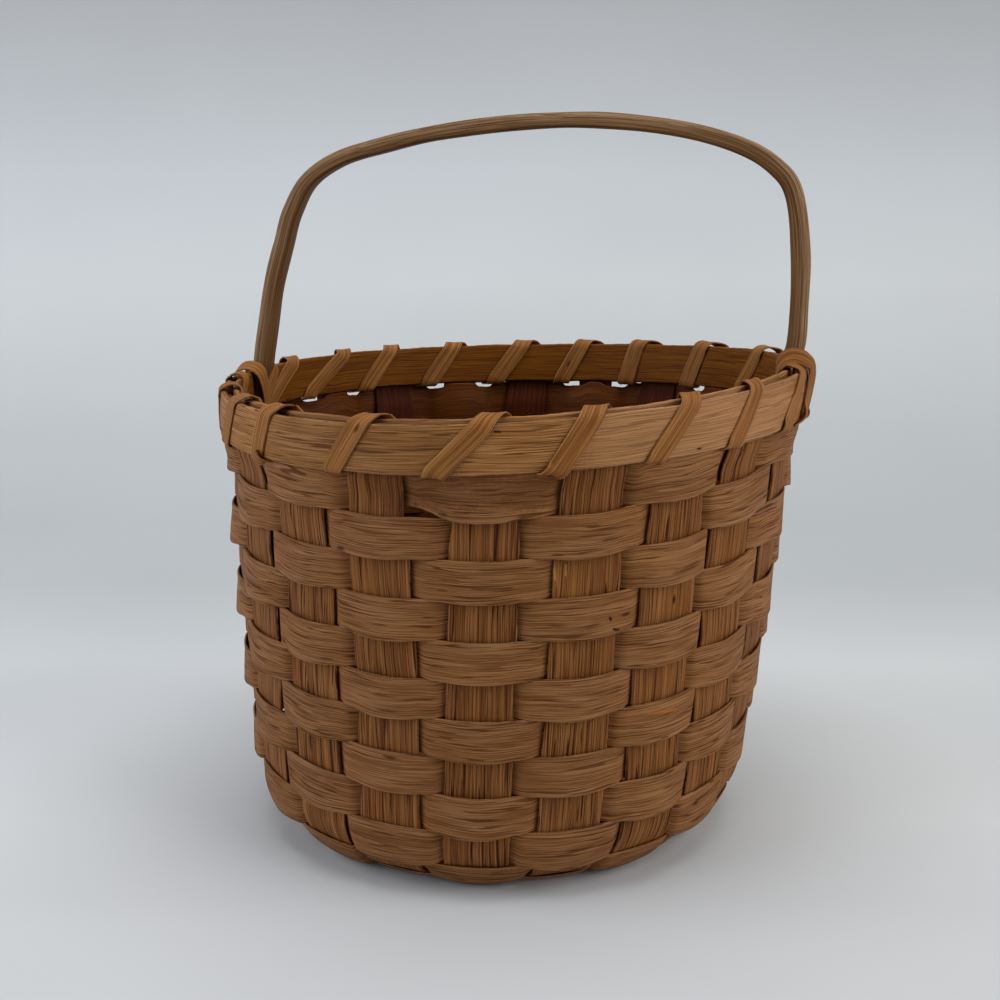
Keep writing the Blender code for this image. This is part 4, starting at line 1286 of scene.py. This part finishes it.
@dataclass(frozen=True)
class WoodFinish:
    """One kind of aged split or bent wood, from its colours to the depth of its grain."""

    name: str
    dark: Colour
    middle: Colour
    light: Colour
    groove: Colour
    golden: Colour
    line_width: float
    line_length: float
    band_width: float
    waver: float
    groove_share: float
    golden_share: float
    depth: float
    roughness: float
    wear_share: float
    worn: Colour = (0.30, 0.19, 0.11)
    fibre_share: float = 0.55
    # Share and tint of the painted shade laid on the inner faces.
    inner_shade_share: float = 1.0
    inner_shade_tint: Colour = (0.66, 0.46, 0.13)
    marks: tuple[Mark, ...] = ()

    def material(self) -> bpy.types.Material:
        """Build the material: bands and fibres pick the colour, grooves and flecks darken it, wear lightens it, painted
        shade darkens the inner faces, and the marks lay painted shade and light, scratches and stains over it.

        Returns:
            The finished material.
        """
        item = bpy.data.materials.new(self.name)
        item.use_nodes = True
        tree = item.node_tree
        shader = tree.nodes["Principled BSDF"]
        g = Graph(tree)
        lay = g.node("ShaderNodeAttribute", attribute_name="lay").outputs["Vector"]
        wear = g.node("ShaderNodeAttribute", attribute_name="wear").outputs["Fac"]
        grain = g.node("ShaderNodeGroup")
        grain.node_tree = GrainGroup.tree()
        for name, value in (("Lay", lay), ("Line Width", self.line_width), ("Line Length", self.line_length),
                            ("Band Width", self.band_width), ("Waver", self.waver)):
            g.put(grain.inputs[name], value)
        out = grain.outputs
        tone = g.math("ADD", g.math("MULTIPLY", out["Fibre"], self.fibre_share),
                      g.math("MULTIPLY", out["Band"], 1.0 - self.fibre_share))
        low = g.span(tone, 0.22, 0.50)
        high = g.span(tone, 0.48, 0.74)
        colour = g.mix(high, g.mix(low, self.dark, self.middle), self.light)
        colour = g.mix(g.math("MULTIPLY", g.span(out["Patch"], 0.52, 0.70), self.golden_share), colour, self.golden)
        colour = g.mix(g.math("MULTIPLY", wear, g.math("MULTIPLY", out["Fibre"], self.wear_share)), colour, self.worn)
        # Painted shade: the inner faces, where the third straightened coordinate is below nought, are multiplied by a
        # darker, warmer tint.
        depth = g.node("ShaderNodeSeparateXYZ")
        g.put(depth.inputs[0], lay)
        inner_shade_mask = g.span(depth.outputs[2], -0.0001, -0.0003)
        colour = g.mix(g.math("MULTIPLY", inner_shade_mask, self.inner_shade_share), colour, self.inner_shade_tint, "MULTIPLY")
        dark = g.math("MAXIMUM", g.math("MULTIPLY", out["Groove"], self.groove_share), out["Fleck"])
        colour = g.mix(dark, colour, self.groove)
        place = g.node("ShaderNodeTexCoord").outputs["Object"]
        for mark in self.marks:
            colour = mark.over(g, colour, place)
        g.put(shader.inputs["Base Color"], colour)
        rough = g.math("ADD", g.math("MULTIPLY", out["Groove"], 0.18), self.roughness)
        rough = g.math("SUBTRACT", rough, g.math("MULTIPLY", out["Band"], 0.10))
        g.put(shader.inputs["Roughness"], rough)
        shader.inputs["Specular IOR Level"].default_value = 0.10
        bump = g.node("ShaderNodeBump")
        bump.inputs["Strength"].default_value = 1.0
        bump.inputs["Distance"].default_value = self.depth
        g.put(bump.inputs["Height"], out["Height"])
        g.put(shader.inputs["Normal"], bump.outputs[0])
        item.diffuse_color = (*self.middle, 1.0)
        return item


# Painted shade: near black, for small holes, slits and gaps between parts that lie in shadow.
GAP_SHADE: Colour = (0.016, 0.0045, 0.0012)
SHADE: Colour = (0.060, 0.021, 0.0060)
# Painted shade: the darker band under the outer hoop's lower edge.
UNDER_HOOP_SHADE: Colour = (0.080, 0.024, 0.0045)
STRAW: Colour = (0.46, 0.23, 0.060)
# Painted light: a lighter patch on the right of the rim, where the right lamp falls.
PAINTED_LIGHT: Colour = (0.42, 0.225, 0.115)
RUST: Colour = (0.40, 0.105, 0.014)


class Finishes:
    """The finish of each slot, made once."""

    made: dict[Slot, bpy.types.Material] = {}
    woods: dict[Slot, WoodFinish] = {
        # Stake wood: its inner faces take a painted shade tint; its marks are painted shade under the outer hoop, a
        # thin line of painted shade in a slit, and two golden scratches.
        Slot.STAKE: WoodFinish("stake_wood", (0.130, 0.039, 0.0066), (0.198, 0.068, 0.0138), (0.285, 0.113, 0.029),
                               (0.034, 0.0075, 0.0010), (0.36, 0.145, 0.024), 0.00032, 0.030, 0.0024, 0.0009, 0.95,
                               0.30, 0.00008, 0.68, 0.25, inner_shade_tint=(0.28, 0.11, 0.01),
                               marks=(Mark((-0.0370, -0.0895, 0.1370), (-0.0330, -0.0905, 0.1290), 0.0100, UNDER_HOOP_SHADE, 0.45),
                                      Mark((0.0716, -0.0668, 0.1400), (0.0664, -0.0692, 0.1270), 0.00055, GAP_SHADE),
                                      Mark((0.0122, -0.0962, 0.1112), (0.0128, -0.0962, 0.1050), 0.0007, STRAW, 0.60),
                                      Mark((0.0160, -0.0958, 0.1090), (0.0158, -0.0958, 0.1062), 0.0006, STRAW, 0.60))),
        # Weaver wood: its inner faces take a painted shade tint; its marks are painted shade under the outer hoop,
        # spots of painted shade in gaps, painted shade along the fold of the top row, and a thin reddish streak.
        Slot.WEAVER: WoodFinish("weaver_wood", (0.160, 0.059, 0.0150), (0.216, 0.086, 0.0258),
                                (0.288, 0.131, 0.048), (0.058, 0.0145, 0.0024), (0.31, 0.13, 0.030), 0.00031, 0.017,
                                0.0036, 0.0014, 0.78, 0.25, 0.00006, 0.66, 0.30, inner_shade_tint=(0.40, 0.24, 0.02),
                                marks=(Mark((-0.0280, -0.0940, 0.1320), (0.0140, -0.0980, 0.1320), 0.0090, UNDER_HOOP_SHADE, 0.45),
                                       Mark((0.0289, -0.0933, 0.0925), (0.0292, -0.0933, 0.0920), 0.00080, GAP_SHADE),
                                       Mark((0.0301, -0.0930, 0.0889), (0.0318, -0.0925, 0.0886), 0.00065, GAP_SHADE),
                                       Mark((-0.0275, -0.0930, 0.1268), (-0.0190, -0.0970, 0.1243), 0.00110, SHADE, 0.7),
                                       Mark((0.0380, -0.0880, 0.0600), (0.0520, -0.0790, 0.0588), 0.00070, RUST, 0.6))),
        # Rim wood: its inner faces take a painted shade tint; its marks are a lighter patch on the right as painted
        # light, a darker patch on the front left as painted shade, and two spots of painted shade in gaps.
        Slot.RIM: WoodFinish("rim_wood", (0.200, 0.075, 0.0170), (0.290, 0.121, 0.033), (0.400, 0.190, 0.063),
                             (0.078, 0.023, 0.0042), (0.42, 0.190, 0.045), 0.00028, 0.022, 0.0034, 0.0020, 0.80,
                             0.36, 0.00007, 0.64, 0.30, inner_shade_tint=(0.54, 0.37, 0.04),
                             marks=(Mark((0.0330, -0.0950, 0.1450), (0.0820, -0.0600, 0.1470), 0.0230, PAINTED_LIGHT, 0.34),
                                    Mark((-0.0700, -0.0720, 0.1440), (-0.0250, -0.0970, 0.1440), 0.0180, SHADE, 0.22),
                                    Mark((-0.0045, -0.1004, 0.1493), (-0.0030, -0.1004, 0.1492), 0.00050, GAP_SHADE),
                                    Mark((0.0545, -0.0846, 0.1414), (0.0555, -0.0840, 0.1415), 0.00050, GAP_SHADE))),
        Slot.LASHING: WoodFinish("lashing_wood", (0.160, 0.053, 0.0085), (0.255, 0.097, 0.020),
                                 (0.370, 0.165, 0.046), (0.085, 0.025, 0.0040), (0.35, 0.16, 0.043), 0.00019, 0.040,
                                 0.0016, 0.0003, 0.60, 0.30, 0.00005, 0.60, 0.30, fibre_share=0.75,
                                 inner_shade_tint=(0.80, 0.60, 0.30)),
        Slot.HANDLE: WoodFinish("handle_wood", (0.092, 0.036, 0.0110), (0.142, 0.062, 0.0195), (0.195, 0.096, 0.034),
                                (0.055, 0.021, 0.0070), (0.20, 0.092, 0.030), 0.00036, 0.060, 0.0020, 0.0006, 0.30,
                                0.30, 0.00004, 0.58, 0.85, worn=(0.39, 0.275, 0.160), inner_shade_share=0.0),
    }

    @classmethod
    def of(cls, slot: Slot) -> bpy.types.Material:
        """Material of a slot."""
        if slot not in cls.made:
            cls.made[slot] = cls.woods[slot].material()
        return cls.made[slot]


# Studio


@dataclass(frozen=True)
class Studio:
    """Pale sweep, soft lights and the camera at the photograph's viewing angle."""

    eye: tuple[float, float, float] = (0.00358, -0.50366, 0.21742)
    pitch: float = 0.21443
    yaw: float = -0.01663
    roll: float = 0.00384
    lens: float = 52.2
    sensor: float = 36.0
    floor_front: float = -2.2
    floor_back: float = 0.20
    sweep_radius: float = 0.55
    wall_height: float = 1.8
    half_width: float = 2.4
    # Painted light and shade: paper colour at stops along the sweep, measured as depth plus height, lighter or darker
    # along the floor and wall.
    painted_light_grades: tuple[tuple[float, Colour], ...] = (
        (-0.20, (0.549, 0.561, 0.568)), (-0.09, (0.554, 0.566, 0.573)), (-0.03, (0.621, 0.638, 0.643)),
        (0.14, (0.620, 0.641, 0.648)), (0.27, (0.477, 0.497, 0.503)), (0.36, (0.451, 0.471, 0.480)),
        (0.50, (0.464, 0.485, 0.495)), (0.72, (0.541, 0.561, 0.569)), (0.87, (0.495, 0.518, 0.536)),
        (1.10, (0.362, 0.370, 0.378)))
    # Painted shade: the paper darkens towards the right, by this share per metre, where the right lamp falls.
    side_painted_shade: float = 0.12
    lamps: tuple[tuple[str, tuple[float, float, float], float, float, Colour], ...] = (
        ("right", (1.15, -0.55, 0.70), 1.3, 14.2, (1.0, 1.0, 1.0)),
        ("left", (-1.20, -0.35, 0.62), 1.3, 11.6, (0.95, 1.0, 1.10)),
        ("top", (0.05, -0.02, 1.40), 1.2, 10.0, (1.0, 1.0, 1.0)))
    sky: float = 0.14

    def sweep(self) -> None:
        """Floor, quarter round and wall in one strip: rows of the profile by columns across."""
        turn = np.linspace(0.0, 0.5 * math.pi, 40)
        y = np.concatenate([np.linspace(self.floor_front, self.floor_back, 20)[:-1],
                            self.floor_back + self.sweep_radius * np.sin(turn), [self.floor_back + self.sweep_radius]])
        z = np.concatenate([np.zeros(19), self.sweep_radius * (1.0 - np.cos(turn)), [self.wall_height]])
        x = np.linspace(-self.half_width, self.half_width, 20)
        grid = np.stack(np.broadcast_arrays(x[None, :], y[:, None], z[:, None]), axis=-1)
        rows, columns, _ = grid.shape
        index = np.arange(rows * columns).reshape(rows, columns)
        quads = np.stack([index[:-1, :-1], index[:-1, 1:], index[1:, 1:], index[1:, :-1]], axis=-1).reshape(-1, 4)
        mesh = bpy.data.meshes.new("sweep")
        mesh.from_pydata(grid.reshape(-1, 3).tolist(), [], quads.tolist())
        mesh.polygons.foreach_set("use_smooth", np.ones(len(quads), bool))
        item = bpy.data.objects.new("sweep", mesh)
        bpy.context.scene.collection.objects.link(item)
        mesh.materials.append(self.paper())

    def paper(self) -> bpy.types.Material:
        """Matt pale paper with a faint mottling; its colour is graded along the sweep and across it as painted light
        and shade.
        """
        item = bpy.data.materials.new("paper")
        item.use_nodes = True
        g = Graph(item.node_tree)
        shader = item.node_tree.nodes["Principled BSDF"]
        place = g.node("ShaderNodeTexCoord").outputs["Object"]
        mottle = g.span(g.noise(place, 6.0, 2.0), 0.3, 0.7, 0.985, 1.015)
        parts = g.node("ShaderNodeSeparateXYZ")
        g.put(parts.inputs[0], place)
        shade = g.node("ShaderNodeValToRGB")
        ramp = shade.color_ramp
        first, last = self.painted_light_grades[0][0], self.painted_light_grades[-1][0]
        for number, (run, colour) in enumerate(self.painted_light_grades):
            share = (run - first) / (last - first)
            ends = {0: 0, len(self.painted_light_grades) - 1: -1}
            stop = ramp.elements[ends[number]] if number in ends else ramp.elements.new(share)
            stop.color = (*colour, 1.0)
        run = g.math("ADD", parts.outputs[1], parts.outputs[2])
        g.put(shade.inputs[0], g.math("DIVIDE", g.math("SUBTRACT", run, first), last - first))
        side = g.math("SUBTRACT", 1.0, g.math("MULTIPLY", parts.outputs[0], self.side_painted_shade))
        tone = g.math("MULTIPLY", mottle, side)
        g.put(shader.inputs["Base Color"], g.mix(1.0, shade.outputs[0], g.vector(tone, tone, tone), "MULTIPLY"))
        shader.inputs["Roughness"].default_value = 0.9
        shader.inputs["Specular IOR Level"].default_value = 0.1
        return item

    def light(self) -> None:
        """Soft area lamps aimed at the basket's middle, and an even pale world."""
        for name, place, size, power, colour in self.lamps:
            data = bpy.data.lights.new(name, "AREA")
            data.color = colour
            data.shape = "DISK"
            data.size = size
            data.energy = power
            item = bpy.data.objects.new(name, data)
            bpy.context.scene.collection.objects.link(item)
            aim = Vector((0.0, 0.0, 0.08)) - Vector(place)
            item.location = place
            item.rotation_euler = aim.to_track_quat("-Z", "Y").to_euler()
        world = bpy.data.worlds.new("studio")
        world.use_nodes = True
        back = world.node_tree.nodes["Background"]
        back.inputs["Color"].default_value = (1.0, 0.99, 0.97, 1.0)
        back.inputs["Strength"].default_value = self.sky
        bpy.context.scene.world = world

    def camera(self) -> None:
        """Camera from its eye point, pitch, yaw and roll: axes right, up and back as matrix columns."""
        sin_y, cos_y = math.sin(self.yaw), math.cos(self.yaw)
        sin_p, cos_p = math.sin(self.pitch), math.cos(self.pitch)
        ahead = Vector((sin_y * cos_p, cos_y * cos_p, -sin_p))
        level = Vector((cos_y, -sin_y, 0.0))
        upright = Vector((sin_y * sin_p, cos_y * sin_p, cos_p))
        right = math.cos(self.roll) * level - math.sin(self.roll) * upright
        up = math.sin(self.roll) * level + math.cos(self.roll) * upright
        data = bpy.data.cameras.new("camera")
        data.lens = self.lens
        data.sensor_width = self.sensor
        data.clip_start = 0.01
        item = bpy.data.objects.new("camera", data)
        bpy.context.scene.collection.objects.link(item)
        turn = Matrix((right, up, -ahead)).transposed().to_4x4()
        item.matrix_world = Matrix.Translation(self.eye) @ turn
        bpy.context.scene.camera = item

    def make(self) -> None:
        """Set the stage."""
        bpy.context.scene.view_settings.view_transform = "Standard"
        self.camera()
        self.light()
        self.sweep()


def main() -> None:
    """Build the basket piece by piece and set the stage."""
    logging.basicConfig(level=logging.INFO, format="%(message)s")
    form = Form()
    handle = Handle(form)
    for part in (Studio(), Stakes(form), Weaving(form), Rim(form, handle), Lashing(form, handle), handle):
        part.make()
        LOG.info("made %s", type(part).__name__)


if __name__ == "__main__":
    main()
